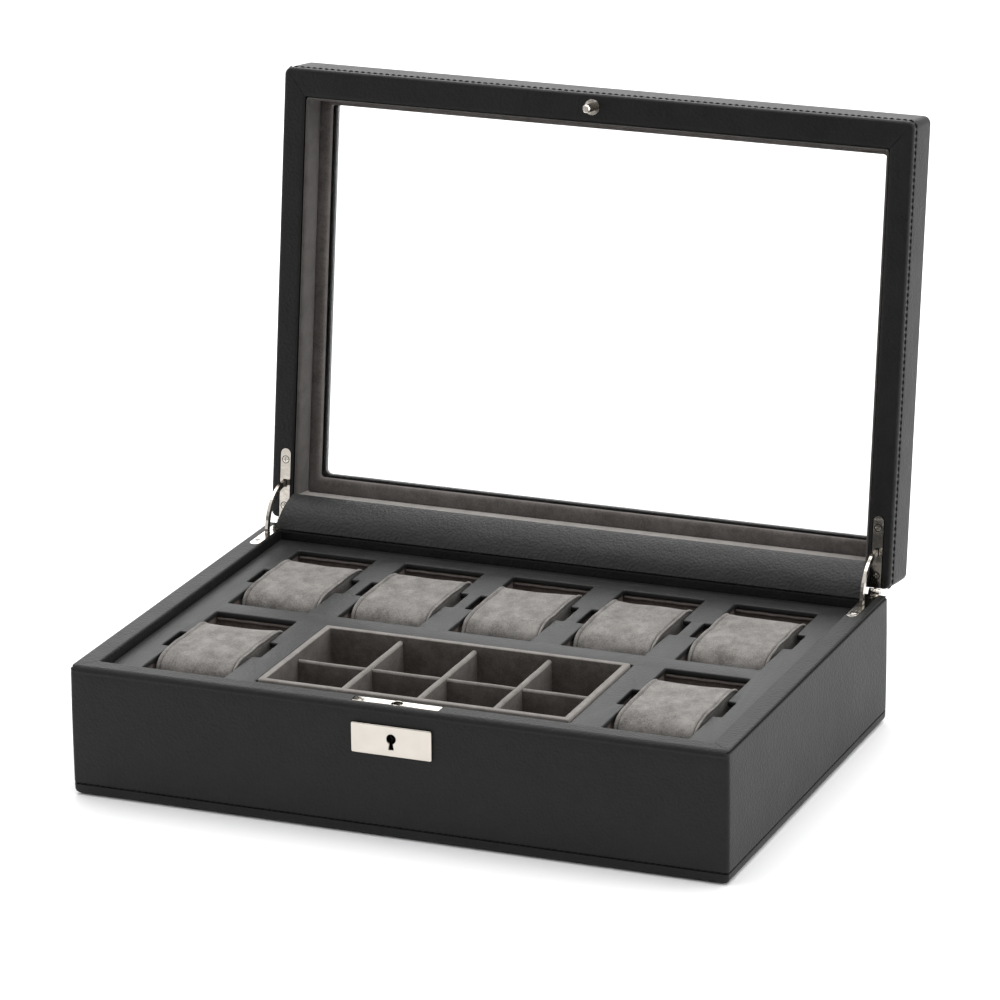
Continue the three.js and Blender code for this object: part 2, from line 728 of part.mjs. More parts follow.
function lidInside(z0, z1, margin) {
  const halfW = BOX_W / 2 - LID_SIDE - margin;
  const front = -BOX_D / 2 + LID_FRONT + margin;
  const rear = BOX_D / 2 - LID_REAR - margin;
  return box(-halfW, halfW, front, rear, z0, z1);
}

function lidGlazing() {
  const under = GLASS_Z - GAP;
  const lining = lidInside(LID_Z + 0.6, under, GAP).subtract(
    lidInside(LID_Z, under + 1, GAP + LINING_T),
  );
  const bead = lidInside(under - BEAD_T, under, 2 * GAP + LINING_T).subtract(
    box(-BEAD_X, BEAD_X, BEAD_FRONT_Y, BEAD_REAR_Y, under - 5, under + 1),
  );
  return [
    meshOf("lid_glass", lidInside(GLASS_Z, GLASS_Z + GLASS_T - 0.1, GAP), "glass"),
    meshOf("lid_lining", lining, "suede"),
    meshOf("lid_glass_bead", bead, "suede_dark"),
  ];
}

function lidStud() {
  const profile = [
    [0, -STUD_LENGTH],
    [STUD_R - 0.6, -STUD_LENGTH],
    [STUD_R, -STUD_LENGTH + 0.8],
    [STUD_R, 0],
    [STUD_FLANGE_R, 0],
    [STUD_FLANGE_R, STUD_FLANGE_T],
    [0, STUD_FLANGE_T],
  ];
  const eyeHalf = BOLT_T / 2 + 0.4;
  const eye = box(
    -5, 5, LOCK_Y - eyeHalf, LOCK_Y + eyeHalf, BOLT_Z - STUD_EYE / 2, BOLT_Z + STUD_EYE / 2,
  );
  const body = lathe(profile, 0, LOCK_Y, LID_Z, 24).subtract(eye);
  return meshOf("lid_stud", body, "nickel");
}

// ---- leather spine across the back, drawn with the lid open -----------------------------------
// Where a point drawn on the closed lid stands when the lid is open.
function openLidPoint(y, z) {
  const hinge = new THREE.Vector2(HINGE_Y, HINGE_Z);
  return new THREE.Vector2(y, z).rotateAround(hinge, -OPEN_ANGLE);
}

function spine() {
  const steps = 8;
  const start = new THREE.Vector2(BOX_D / 2 - CASE_REAR - 0.2, CASE_H + GAP);
  const end = openLidPoint(BOX_D / 2 - LID_REAR - SPINE_LAP, LID_Z - GAP);
  const along = end.clone().sub(start).normalize();
  const out = new THREE.Vector2(-along.y, along.x);
  const upper = [];
  const lower = [];
  for (let i = 0; i <= steps; i += 1) {
    const t = i / steps;
    const p = start.clone().lerp(end, t).addScaledVector(out, 4 * SPINE_RISE * t * (1 - t));
    lower.push([p.x, p.y]);
    upper.push([p.x + SPINE_T * out.x, p.y + SPINE_T * out.y]);
  }
  const half = BOX_W / 2 - LID_SIDE - 0.9;
  return meshOf("spine_strip", prismAlongX([...lower, ...upper.reverse()], -half, half), "leather");
}

// ---- assembly ------------------------------------------------------------------------------------
function hingeGroup(angle) {
  const pivot = new THREE.Group();
  pivot.position.set(0, HINGE_Y, HINGE_Z);
  pivot.rotation.x = -angle;
  const content = new THREE.Group();
  content.position.set(0, -HINGE_Y, -HINGE_Z);
  pivot.add(content);
  return { pivot, content };
}

const box3d = new THREE.Group();
box3d.name = "watch_box";
const lid = hingeGroup(OPEN_ANGLE);
const stays = hingeGroup(OPEN_ANGLE / 2);
box3d.add(lid.pivot, stays.pivot);

box3d.add(...caseWalls(), ...caseFloor(), ...insert(), ...wellLiners());
box3d.add(...cushions(), ...tray(), ...lockParts(), lockBolt(), spine());
lid.content.add(...lidRails(), ...lidGlazing(), lidStud());

for (const [side, x] of [["left", -HINGE_X], ["right", HINGE_X]]) {
  const pin = rodAlongX(PIN_R, x - 3.1, x + 3.1, HINGE_Y, HINGE_Z);
  box3d.add(meshOf(`hinge_${side}_case_leaf`, hingeLeaf(x, true), "nickel"));
  box3d.add(meshOf(`hinge_${side}_pin`, pin, "steel"));
  lid.content.add(meshOf(`hinge_${side}_lid_leaf`, hingeLeaf(x, false), "nickel"));
  stays.content.add(meshOf(`hinge_${side}_stay`, stayArc(x), "nickel"));
  SCREW_YS.forEach((y, i) => {
    const low = slottedScrew(x, y, CASE_H, true);
    const high = slottedScrew(x, y, LID_Z, false);
    box3d.add(meshOf(`screw_${side}_case_${i + 1}`, low, "nickel"));
    lid.content.add(meshOf(`screw_${side}_lid_${i + 1}`, high, "nickel"));
  });
}

export default box3d;
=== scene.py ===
# %% [markdown]
# # A leatherette watch box with a glazed lid
#
# This lesson finishes a watch box whose solid pieces were already modelled to size. Blender adds
# what an engineer's model leaves out: leatherette with its grain, turned edges and stitching,
# padded suede cushions, bright nickel fittings, and clear glass. The work goes from the outside in,
# as the box would be covered at the bench.

import json
import math

import bmesh
import bpy
from mathutils import Matrix, Vector, noise


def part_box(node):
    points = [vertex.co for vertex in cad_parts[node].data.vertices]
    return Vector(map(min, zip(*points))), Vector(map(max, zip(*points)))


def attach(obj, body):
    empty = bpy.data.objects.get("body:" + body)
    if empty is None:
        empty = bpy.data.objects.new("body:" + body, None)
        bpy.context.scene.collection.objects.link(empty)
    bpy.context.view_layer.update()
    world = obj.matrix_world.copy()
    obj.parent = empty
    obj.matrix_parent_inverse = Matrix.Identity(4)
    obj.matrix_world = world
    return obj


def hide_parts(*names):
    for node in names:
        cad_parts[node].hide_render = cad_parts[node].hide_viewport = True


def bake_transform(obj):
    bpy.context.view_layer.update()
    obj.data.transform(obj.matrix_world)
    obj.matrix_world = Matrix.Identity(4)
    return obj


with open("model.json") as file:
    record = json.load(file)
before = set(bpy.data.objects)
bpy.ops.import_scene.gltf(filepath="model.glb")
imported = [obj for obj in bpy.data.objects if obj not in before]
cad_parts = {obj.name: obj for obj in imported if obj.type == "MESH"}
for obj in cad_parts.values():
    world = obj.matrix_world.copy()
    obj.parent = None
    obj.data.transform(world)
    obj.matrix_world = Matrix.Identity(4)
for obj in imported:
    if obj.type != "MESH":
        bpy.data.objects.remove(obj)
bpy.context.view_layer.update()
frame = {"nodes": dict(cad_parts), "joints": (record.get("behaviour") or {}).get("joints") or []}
MM = 0.001

# %% [markdown]
# ## Camera
#
# A small object looks calm and true when it is seen from far off through a long lens. The camera
# stands about three metres away, to the right of the front corner and a little above, so that the
# front, the right side and the inside of the lid all show.

# %% Set the camera
CAMERA_PLACE = Vector((1.0098, -2.4662, 1.0150))
CAMERA_AZIMUTH = math.radians(22.090)
CAMERA_DROP = math.radians(18.195)
CAMERA_ROLL = math.radians(-0.567)
CAMERA_LENS_MM = 199.37

camera_data = bpy.data.cameras.new("camera")
camera_data.sensor_width = 36
camera_data.lens = CAMERA_LENS_MM
camera_data.clip_start = 0.05
camera_data.clip_end = 40
camera = bpy.data.objects.new("camera", camera_data)
bpy.context.collection.objects.link(camera)
ahead = Vector((
    -math.sin(CAMERA_AZIMUTH) * math.cos(CAMERA_DROP),
    math.cos(CAMERA_AZIMUTH) * math.cos(CAMERA_DROP),
    -math.sin(CAMERA_DROP),
))
level_right = ahead.cross(Vector((0, 0, 1))).normalized()
level_up = level_right.cross(ahead)
camera_right = math.cos(CAMERA_ROLL) * level_right + math.sin(CAMERA_ROLL) * level_up
camera_up = camera_right.cross(ahead)
camera.matrix_world = Matrix((
    (camera_right.x, camera_up.x, -ahead.x, CAMERA_PLACE.x),
    (camera_right.y, camera_up.y, -ahead.y, CAMERA_PLACE.y),
    (camera_right.z, camera_up.z, -ahead.z, CAMERA_PLACE.z),
    (0, 0, 0, 1),
))
bpy.context.scene.camera = camera
print("camera distance from the middle of the box, in m:", round(CAMERA_PLACE.length, 2))

# %% [markdown]
# ## Floor and light
#
# The box stands on a white sweep under big soft lamps, as a shop lights its goods. Black
# leatherette shows its shape by what it mirrors, so the lamps matter more than the colour: large
# ones overhead and behind grey the top faces, one at the right greys the end wall, and very little
# reaches the front, which stays dark. The white room is seen at full strength straight on and
# through the glass, but it is dimmed towards the viewer, so the front has little to mirror.

# %% Lay the floor and hang the lamps
bpy.context.scene.view_settings.view_transform = "Standard"
bpy.context.scene.view_settings.look = "None"


def new_material(name):
    material = bpy.data.materials.new(name)
    material.use_nodes = True
    return material, material.node_tree, material.node_tree.nodes["Principled BSDF"]


def add_node(tree, kind, **values):
    node = tree.nodes.new(kind)
    for key, value in values.items():
        if key in node.inputs.keys():
            node.inputs[key].default_value = value
        else:
            setattr(node, key, value)
    return node


floor_finish, _, floor_shader = new_material("white_sweep")
floor_shader.inputs["Base Color"].default_value = (0.93, 0.93, 0.935, 1)
floor_shader.inputs["Roughness"].default_value = 0.8
floor_shader.inputs["Specular IOR Level"].default_value = 0.1

FLOOR_HALF, FLOOR_NEAR, FLOOR_FAR = 9, -0.7, 12  # in metres
floor_mesh = bpy.data.meshes.new("floor")
floor_mesh.from_pydata(
    [(-FLOOR_HALF, FLOOR_NEAR, 0), (FLOOR_HALF, FLOOR_NEAR, 0),
     (FLOOR_HALF, FLOOR_FAR, 0), (-FLOOR_HALF, FLOOR_FAR, 0)], [], [(0, 1, 2, 3)]
)
floor = bpy.data.objects.new("floor", floor_mesh)
floor.data.materials.append(floor_finish)
bpy.context.collection.objects.link(floor)


def soft_lamp(name, place, aim, size, power):
    data = bpy.data.lights.new(name, "AREA")
    data.shape = "RECTANGLE"
    data.size, data.size_y = size
    data.energy = power
    lamp = bpy.data.objects.new(name, data)
    bpy.context.collection.objects.link(lamp)
    lamp.location = place
    direction = Vector(aim) - Vector(place)
    lamp.rotation_euler = direction.to_track_quat("-Z", "Y").to_euler()
    return lamp


soft_lamp("lamp_top", (0.0, 0.35, 2.1), (0, 0.05, 0.05), (2.2, 1.8), 34)
soft_lamp("lamp_right", (2.3, 0.5, 0.8), (0, 0, 0.12), (1.4, 1.3), 19)
soft_lamp("lamp_left", (-2.2, -0.6, 1.4), (0, 0, 0.1), (1.2, 1.2), 4)
soft_lamp("lamp_back", (-1.0, 2.5, 1.35), (0, 0, 0.05), (2.2, 1.2), 22)
soft_lamp("card_left", (-0.85, -0.95, 0.15), (-0.2, 0.1, 0.12), (0.85, 0.6), 1.4)

world = bpy.data.worlds.new("white_room")
bpy.context.scene.world = world
world.use_nodes = True
sky = world.node_tree.nodes["Background"]
sky.inputs["Color"].default_value = (1, 1, 1, 1)
toward = world.node_tree.nodes.new("ShaderNodeTexCoord")
parts = world.node_tree.nodes.new("ShaderNodeSeparateXYZ")
world.node_tree.links.new(toward.outputs["Generated"], parts.inputs["Vector"])
room = add_node(world.node_tree, "ShaderNodeMapRange", interpolation_type="SMOOTHSTEP")
for socket, value in (("From Min", -0.97), ("From Max", -0.6), ("To Min", 0.08),
                      ("To Max", 1.0)):
    room.inputs[socket].default_value = value
world.node_tree.links.new(parts.outputs["Y"], room.inputs["Value"])
ray = world.node_tree.nodes.new("ShaderNodeLightPath")
straight = add_node(world.node_tree, "ShaderNodeMath", operation="MAXIMUM")
world.node_tree.links.new(ray.outputs["Is Camera Ray"], straight.inputs[0])
world.node_tree.links.new(ray.outputs["Is Transmission Ray"], straight.inputs[1])
strength = add_node(world.node_tree, "ShaderNodeMath", operation="MAXIMUM")
world.node_tree.links.new(straight.outputs[0], strength.inputs[0])
world.node_tree.links.new(room.outputs["Result"], strength.inputs[1])
world.node_tree.links.new(strength.outputs[0], sky.inputs["Strength"])

# %% [markdown]
# ## Leatherette
#
# The covering is a coated cloth embossed with a very fine pebble grain. The grain is small round
# cells, each about a millimetre across, with shallow valleys between. A cell pattern driven by a
# little distortion gives them, a broader noise gives the slight waviness of a skin glued on board,
# and a patchy roughness breaks up the shine where hands have polished it.


# %% Mix the leatherette
def object_space(tree):
    return tree.nodes.new("ShaderNodeTexCoord").outputs["Object"]


def stretched(tree, scale):
    mapping = add_node(tree, "ShaderNodeMapping", Scale=scale)
    tree.links.new(object_space(tree), mapping.inputs["Vector"])
    return mapping.outputs["Vector"]


def noise_texture(tree, where, **values):
    texture = add_node(tree, "ShaderNodeTexNoise", **values)
    tree.links.new(where, texture.inputs["Vector"])
    return texture.outputs["Fac"]


def add_share(tree, value, share, base=None):
    """value * share + base"""
    total = add_node(tree, "ShaderNodeMath", operation="MULTIPLY_ADD")
    total.inputs[1].default_value = share
    total.inputs[2].default_value = 0.0
    tree.links.new(value, total.inputs[0])
    if base is not None:
        tree.links.new(base, total.inputs[2])
    return total.outputs[0]


def two_tones(tree, value, dark, light, low=0.0, high=1.0):
    """Blends from dark to light as the value goes from low to high."""
    ramp = add_node(tree, "ShaderNodeValToRGB")
    steps = zip(ramp.color_ramp.elements, (low, high), (dark, light))
    for element, position, colour in steps:
        element.position = position
        element.color = (*colour, 1)
    tree.links.new(value, ramp.inputs["Fac"])
    return ramp.outputs["Color"]


def relief(tree, height, strength, depth, over=None):
    """A bump, laid over another bump if there is one."""
    bump = add_node(tree, "ShaderNodeBump", Strength=strength, Distance=depth)
    tree.links.new(height, bump.inputs["Height"])
    if over is not None:
        tree.links.new(over, bump.inputs["Normal"])
    return bump.outputs["Normal"]


def between(tree, value, low, high):
    """Turns a value from 0 to 1 into one from low to high."""
    span = add_node(tree, "ShaderNodeMapRange")
    span.inputs["To Min"].default_value = low
    span.inputs["To Max"].default_value = high
    tree.links.new(value, span.inputs["Value"])
    return span.outputs["Result"]


def wire(tree, shader, colour, normal, roughness=None):
    tree.links.new(colour, shader.inputs["Base Color"])
    tree.links.new(normal, shader.inputs["Normal"])
    if roughness is not None:
        tree.links.new(roughness, shader.inputs["Roughness"])


PEBBLES_PER_M = 760
PEBBLE_DRIFT = (0.0006, 0.0006, 0.0006)  # in metres
GRAIN_DEPTH = 0.0003


def make_leatherette(name, colour, worn_colour, roughness, specular, grain_strength=0.7):
    material, tree, shader = new_material(name)
    where = object_space(tree)
    drift = add_node(tree, "ShaderNodeTexNoise", Scale=900, Detail=2)
    tree.links.new(where, drift.inputs["Vector"])
    shift = add_node(tree, "ShaderNodeVectorMath", operation="MULTIPLY_ADD")
    shift.inputs[1].default_value = PEBBLE_DRIFT
    tree.links.new(drift.outputs["Color"], shift.inputs[0])
    tree.links.new(where, shift.inputs[2])
    pebble = add_node(tree, "ShaderNodeTexVoronoi", feature="SMOOTH_F1", Scale=PEBBLES_PER_M)
    tree.links.new(shift.outputs["Vector"], pebble.inputs["Vector"])
    fine = noise_texture(tree, where, Scale=2600, Detail=4, Roughness=0.6)
    height = add_share(tree, fine, 0.35, pebble.outputs["Distance"])
    grain = relief(tree, height, grain_strength, GRAIN_DEPTH)
    wave = noise_texture(tree, where, Scale=38, Detail=3, Roughness=0.55)
    patch = noise_texture(tree, where, Scale=60, Detail=5, Roughness=0.65)
    wire(
        tree, shader,
        two_tones(tree, patch, colour, worn_colour, 0.32, 0.75),
        relief(tree, wave, 0.2, 0.0006, grain),
        between(tree, patch, roughness - 0.06, roughness + 0.08),
    )
    shader.inputs["Specular IOR Level"].default_value = specular
    return material


leatherette = make_leatherette(
    "leatherette", (0.0036, 0.0037, 0.0036), (0.0078, 0.0079, 0.0077), 0.5, 0.25
)
# A lighter copy of the leatherette for the insert panel: painted light where the top lamps fall on
# its upward face.
panel_painted_light_leather = make_leatherette(
    "panel_painted_light_leather", (0.0058, 0.0064, 0.0059), (0.0105, 0.0115, 0.0106), 0.5, 0.35, 0.45
)
spine_leather = make_leatherette(
    "spine_leather", (0.0068, 0.007, 0.0069), (0.013, 0.0134, 0.0132), 0.44, 0.4, 0.85
)
print("leatherette nodes:", len(leatherette.node_tree.nodes))

# %% [markdown]
# ## Suede
#
# The cushions, the tray and the lid's lining are covered in brushed microfibre suede. Its short nap
# catches light at a glancing angle, which is what the shader's sheen does, and it shows lighter and
# darker strokes where a hand has brushed it. Those strokes come from a noise stretched along one
# direction, over a fine speckle for the fibres.


# %% Mix the suedes
STROKES_PER_M = (105, 80, 105)
SHEEN_TINT = (0.95, 0.92, 0.9, 1)


def make_suede(name, dark, light, sheen):
    material, tree, shader = new_material(name)
    strokes = noise_texture(
        tree, stretched(tree, STROKES_PER_M),
        Scale=1.0, Detail=8, Roughness=0.74, Distortion=0.25,
    )
    fibres = noise_texture(tree, object_space(tree), Scale=1300, Detail=4, Roughness=0.75)
    blend = add_share(tree, fibres, 0.45, add_share(tree, strokes, 0.55))
    nap = relief(tree, fibres, 0.7, 0.0003)
    wire(
        tree, shader,
        two_tones(tree, blend, dark, light, 0.41, 0.59),
        relief(tree, strokes, 0.4, 0.0006, nap),
    )
    shader.inputs["Roughness"].default_value = 0.95
    shader.inputs["Specular IOR Level"].default_value = 0.15
    shader.inputs["Sheen Weight"].default_value = sheen
    shader.inputs["Sheen Roughness"].default_value = 0.45
    shader.inputs["Sheen Tint"].default_value = SHEEN_TINT
    return material


cushion_suede = make_suede(
    "cushion_suede", (0.108, 0.101, 0.095), (0.24, 0.228, 0.215), 0.2
)
# A much darker copy for the sewn line: painted shadow in the seam's groove.
cushion_seam_painted_shade = make_suede("cushion_seam_painted_shade_suede", (0.03, 0.027, 0.025), (0.06, 0.055, 0.05), 0.05)
# A darker copy for the side cheeks: painted shade on the faces turned away from the light.
cheek_painted_shade_suede = make_suede("cheek_painted_shade_suede", (0.058, 0.053, 0.049), (0.105, 0.098, 0.091), 0.1)
tray_suede = make_suede("tray_suede", (0.15, 0.138, 0.128), (0.225, 0.21, 0.197), 0.2)
# A darker copy of the tray suede: painted shade inside the tray and between its dividers.
tray_inside_painted_shade = make_suede("tray_inside_painted_shade_suede", (0.064, 0.055, 0.05), (0.115, 0.102, 0.093), 0.1)
# A lighter copy of the lining suede: painted light on faces turned up to the top lamps.
ledge_painted_light_suede = make_suede("ledge_painted_light_suede", (0.18, 0.168, 0.157), (0.26, 0.245, 0.232), 0.25)
# Darker than the well suede: painted shade on the liner edge under the panel.
rim_painted_shade_suede = make_suede("rim_painted_shade_suede", (0.06, 0.05, 0.046), (0.1, 0.086, 0.08), 0.1)
lining_suede = make_suede("lining_suede", (0.055, 0.05, 0.047), (0.085, 0.079, 0.075), 0.15)
bead_suede = make_suede("bead_suede", (0.075, 0.066, 0.062), (0.125, 0.113, 0.107), 0.1)
# The cushion suede made darker and browner: painted shade down in the wells.
well_painted_shade_suede = make_suede("well_painted_shade_suede", (0.085, 0.066, 0.06), (0.135, 0.11, 0.1), 0.1)
print("suedes:", [m.name for m in bpy.data.materials if m.name.endswith("suede")])

# %% [markdown]
# ## Metal, glass, thread and the hidden boards
#
# The fittings are pressed brass plated with nickel and polished, so they are smooth with faint
# polishing lines and a warm tint. The glass is plain float glass, thin enough that most light goes
# straight through and only a little is mirrored. The thread is waxed and black.
# The boards, foam and felt hardly show, but each gets its own surface, because the box is also
# looked at with the cushions out.


# %% Mix the remaining finishes
POLISH_PER_M = (120, 1500, 1500)


def make_metal(name, colour, roughness, lines):
    material, tree, shader = new_material(name)
    where = object_space(tree)
    polish = noise_texture(
        tree, stretched(tree, POLISH_PER_M), Scale=1.0, Detail=4, Roughness=0.6
    )
    smudge = noise_texture(tree, where, Scale=160, Detail=4)
    pressed = noise_texture(tree, where, Scale=230, Detail=1)
    scratched = relief(tree, polish, lines, 0.00004)
    wire(
        tree, shader,
        two_tones(tree, smudge, [c * 0.85 for c in colour], colour),
        relief(tree, pressed, 0.2, 0.0005, scratched),
        between(tree, smudge, roughness * 0.6, roughness * 1.6),
    )
    shader.inputs["Metallic"].default_value = 1.0
    return material


def make_matt(name, dark, light, scale, roughness, bump_depth):
    material, tree, shader = new_material(name)
    speckle = noise_texture(tree, object_space(tree), Scale=scale, Detail=6, Roughness=0.7)
    wire(
        tree, shader,
        two_tones(tree, speckle, dark, light, 0.35, 0.65),
        relief(tree, speckle, 0.6, bump_depth),
    )
    shader.inputs["Roughness"].default_value = roughness
    shader.inputs["Specular IOR Level"].default_value = 0.12
    return material


nickel = make_metal("polished_nickel", (0.6, 0.56, 0.505), 0.12, 0.12)
lock_steel = make_metal("lock_steel", (0.42, 0.41, 0.4), 0.34, 0.5)
thread_wax = make_matt("waxed_thread", (0.004, 0.004, 0.004), (0.012, 0.012, 0.012), 2400,
                       0.6, 0.0001)
# A near-black stand-in for shade, painted into seams, pocket walls and round screw heads.
seam_painted_shade = make_matt("seam_painted_shade", (0.0015, 0.0015, 0.0015), (0.004, 0.004, 0.004), 1800,
                       0.9, 0.0001)
felt = make_matt("black_felt", (0.008, 0.008, 0.009), (0.03, 0.03, 0.032), 1500, 1.0, 0.0003)
fibreboard = make_matt("fibreboard", (0.2, 0.13, 0.075), (0.34, 0.24, 0.15), 700, 0.9, 0.0002)
foam = make_matt("foam", (0.035, 0.035, 0.04), (0.08, 0.08, 0.088), 900, 1.0, 0.0004)

glass, glass_tree, glass_shader = new_material("lid_glass")
glass_shader.inputs["Base Color"].default_value = (0.985, 1.0, 0.992, 1)
glass_shader.inputs["Transmission Weight"].default_value = 1.0
glass_shader.inputs["IOR"].default_value = 1.46
glass_shader.inputs["Alpha"].default_value = 0.12
dust = noise_texture(glass_tree, object_space(glass_tree), Scale=90, Detail=5)
glass_tree.links.new(between(glass_tree, dust, 0.0, 0.03), glass_shader.inputs["Roughness"])
print("finishes in all:", len(bpy.data.materials))

# %% [markdown]
# ## Helpers for sheet and shell work
#
# Covered boxes are built from a few kinds of form: a shell that follows a rounded rectangle, a
# plate with cut-outs, and small repeated bodies such as stitches. Each has one helper below. All
# sizes are written in millimetres, as on a maker's drawing, and turned into metres when the mesh
# is made.


# %% Mesh helpers
def make_piece(name, points, faces, finish, smooth_angle=40):
    mesh = bpy.data.meshes.new(name)
    mesh.from_pydata([Vector(p) * MM for p in points], [], faces)
    build = bmesh.new()
    build.from_mesh(mesh)
    bmesh.ops.recalc_face_normals(build, faces=build.faces)
    build.to_mesh(mesh)
    build.free()
    mesh.shade_smooth()
    mesh.set_sharp_from_angle(angle=math.radians(smooth_angle))
    mesh.materials.append(finish)
    piece = bpy.data.objects.new(name, mesh)
    bpy.context.collection.objects.link(piece)
    return piece


def paint(piece, finish, chosen):
    """Gives the chosen faces a further finish."""
    piece.data.materials.append(finish)
    index = len(piece.data.materials) - 1
    for number in chosen:
        piece.data.polygons[number].material_index = index


def bake_modifiers(piece, smooth_angle=None):
    bpy.context.view_layer.update()
    seen = piece.evaluated_get(bpy.context.evaluated_depsgraph_get())
    mesh = bpy.data.meshes.new_from_object(seen)
    piece.modifiers.clear()
    piece.data = mesh
    if smooth_angle is not None:
        mesh.shade_smooth()
        mesh.set_sharp_from_angle(angle=math.radians(smooth_angle))
    return piece


def ring_outline(sides, radius, counts, corner_steps=8):
    """Points round a rounded rectangle, with what side each belongs to."""
    left, right, front, rear = sides
    points = []
    corners = (
        (right - radius, rear - radius, 0),
        (left + radius, rear - radius, 1),
        (left + radius, front + radius, 2),
        (right - radius, front + radius, 3),
    )
    for number, (cx, cy, turn) in enumerate(corners):
        for step in range(corner_steps + 1):
            share = step / corner_steps
            angle = (turn + share) * math.pi / 2
            x = cx + radius * math.cos(angle)
            y = cy + radius * math.sin(angle)
            points.append((x, y, number + 0.5 * share, True))
        nx, ny, _ = corners[(number + 1) % 4]
        end_angle = (turn + 1) * math.pi / 2
        ax = cx + radius * math.cos(end_angle)
        ay = cy + radius * math.sin(end_angle)
        bx = nx + radius * math.cos(end_angle)
        by = ny + radius * math.sin(end_angle)
        count = counts[number % 2]
        for step in range(1, count):
            share = step / count
            points.append((ax + (bx - ax) * share, ay + (by - ay) * share,
                           number + 0.5 + 0.5 * share, False))
    return points


def tube_faces(levels, ring, closed=False, start=0):
    """Quads between rings of points; closed also joins the last ring to the first."""
    faces = []
    for level in range(levels if closed else levels - 1):
        here = start + level * ring
        there = start + (level + 1) % levels * ring
        for i in range(ring):
            j = (i + 1) % ring
            faces.append((here + i, here + j, there + j, there + i))
    return faces


def front_share(along):
    """1 on the front side, 0 on the others, fading round the corners next to it."""
    if 2.5 <= along <= 3.0:
        return 1.0
    if 2.0 <= along < 2.5:
        return (along - 2.0) * 2
    if 3.0 < along <= 3.5:
        return 1 - (along - 3.0) * 2
    return 0.0


def prism_points(outline, low, high):
    count = len(outline)
    points = [(x, y, low) for x, y in outline] + [(x, y, high) for x, y in outline]
    caps = [tuple(range(count - 1, -1, -1)), tuple(range(count, 2 * count))]
    return points, caps + tube_faces(2, count)


def cut(piece, outline, low, high, place=None):
    points, faces = prism_points(outline, low, high)
    cutter = make_piece("cutter", points, faces, leatherette)
    # The cutter's faces carry the black seam finish, so every pocket wall it leaves is painted
    # black as painted shade.
    paint(cutter, seam_painted_shade, range(len(faces)))
    if place is not None:
        cutter.data.transform(place)
    trim = piece.modifiers.new("trim", "BOOLEAN")
    trim.operation = "DIFFERENCE"
    trim.solver = "EXACT"
    trim.object = cutter
    bake_modifiers(piece)
    bpy.data.objects.remove(cutter)
    return piece


def circle_outline(cx, cy, radius, steps=24):
    return [
        (cx + radius * math.cos(2 * math.pi * i / steps),
         cy + radius * math.sin(2 * math.pi * i / steps))
        for i in range(steps)
    ]


def rectangle_outline(x0, x1, y0, y1):
    return [(x0, y0), (x1, y0), (x1, y1), (x0, y1)]


def node_box_mm(name):
    low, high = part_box(name)
    return [v / MM for v in low], [v / MM for v in high]


hinge_joint = next(j for j in frame["joints"] if j["name"] == "lid_hinge")
HINGE_Y, HINGE_Z = (hinge_joint["pos_m"][i] for i in (1, 2))
OPEN_ANGLE = math.radians(hinge_joint["range_deg"][1])
OPEN_LID = (
    Matrix.Translation((0, HINGE_Y, HINGE_Z))
    @ Matrix.Rotation(-OPEN_ANGLE, 4, "X")
    @ Matrix.Translation((0, -HINGE_Y, -HINGE_Z))
)
print("lid opens, in degrees:", round(math.degrees(OPEN_ANGLE), 1))

# %% [markdown]
# ## The case's leatherette
#
# Four boards are glued at the corners and then wrapped. The skin turns round the foot, where it is
# stitched to a narrow welt, and over the front edge in one soft roll. Along the sides and the back
# the top strip is a separate piece, so a thin seam runs just under the edge. The shade in that seam
# and in the welt's seam is painted as a black line. The strips meet at the corners in mitres.
#
# One closed section, swept round a rounded rectangle, gives all of that as real shape. Each row
# below is a distance in from the outer face and a height, once for the front and once for the
# other sides.

# %% Draw the case's section
case_low, case_high = node_box_mm("case_wall_front")
HALF_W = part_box("lid_top_frame")[1].x / MM
side_low, side_high = node_box_mm("case_wall_right")
FRONT_FACE = case_low[1]
REAR_FACE = node_box_mm("case_wall_rear")[1][1]
CASE_TOP = case_high[2]
WALL_SIDE = side_high[0] - side_low[0]
WALL_FRONT = case_high[1] - case_low[1]
WALL_REAR = REAR_FACE - node_box_mm("case_wall_rear")[0][1]
print("case walls, in mm:", [round(v, 2) for v in (WALL_SIDE, WALL_FRONT, WALL_REAR)])

CASE_CORNER = 2.0
WELT_Z = 6.4  # the stitched seam above the foot
FACE_BOW = 0.22  # how far the padded face swells at mid height


def arc_rows(cx, cz, radius, start, end, steps):
    rows = []
    for i in range(steps + 1):
        a = math.radians(start + (end - start) * i / steps)
        rows.append((cx - radius * math.cos(a), cz + radius * math.sin(a)))
    return rows


foot_rows = [(9.0, 0.25), (6.5, 0.1)] + arc_rows(4.3, 4.0, 4.0, -90, -8, 6)
welt_rows = [(0.3, WELT_Z - 0.6), (0.95, WELT_Z - 0.3), (0.95, WELT_Z + 0.1),
             (0.32, WELT_Z + 0.4)]
face_rows = [
    (FACE_BOW * ((z - 37) / 31) ** 2, z) for z in (7.8, 11, 16, 22, 30, 38, 46, 54, 60, 64)
]
front_lip = [(0.3, CASE_TOP - 4.2), (0.34, CASE_TOP - 3.6)] + [
    (t, z) for t, z in arc_rows(3.2, CASE_TOP - 3.2, 3.2, 2, 88, 8)
] + [(3.7, CASE_TOP - 0.01), (4.3, CASE_TOP)]
side_lip = [(inset, CASE_TOP - drop) for inset, drop in (
    (0.2, 3.2), (0.2, 2.2), (0.24, 1.75), (0.5, 1.5), (1.3, 1.42), (1.75, 1.36),
    (1.7, 1.02), (0.95, 0.86), (0.72, 0.6), (0.9, 0.3), (1.4, 0.08), (2.2, 0.02), (3.4, 0.0),
)]
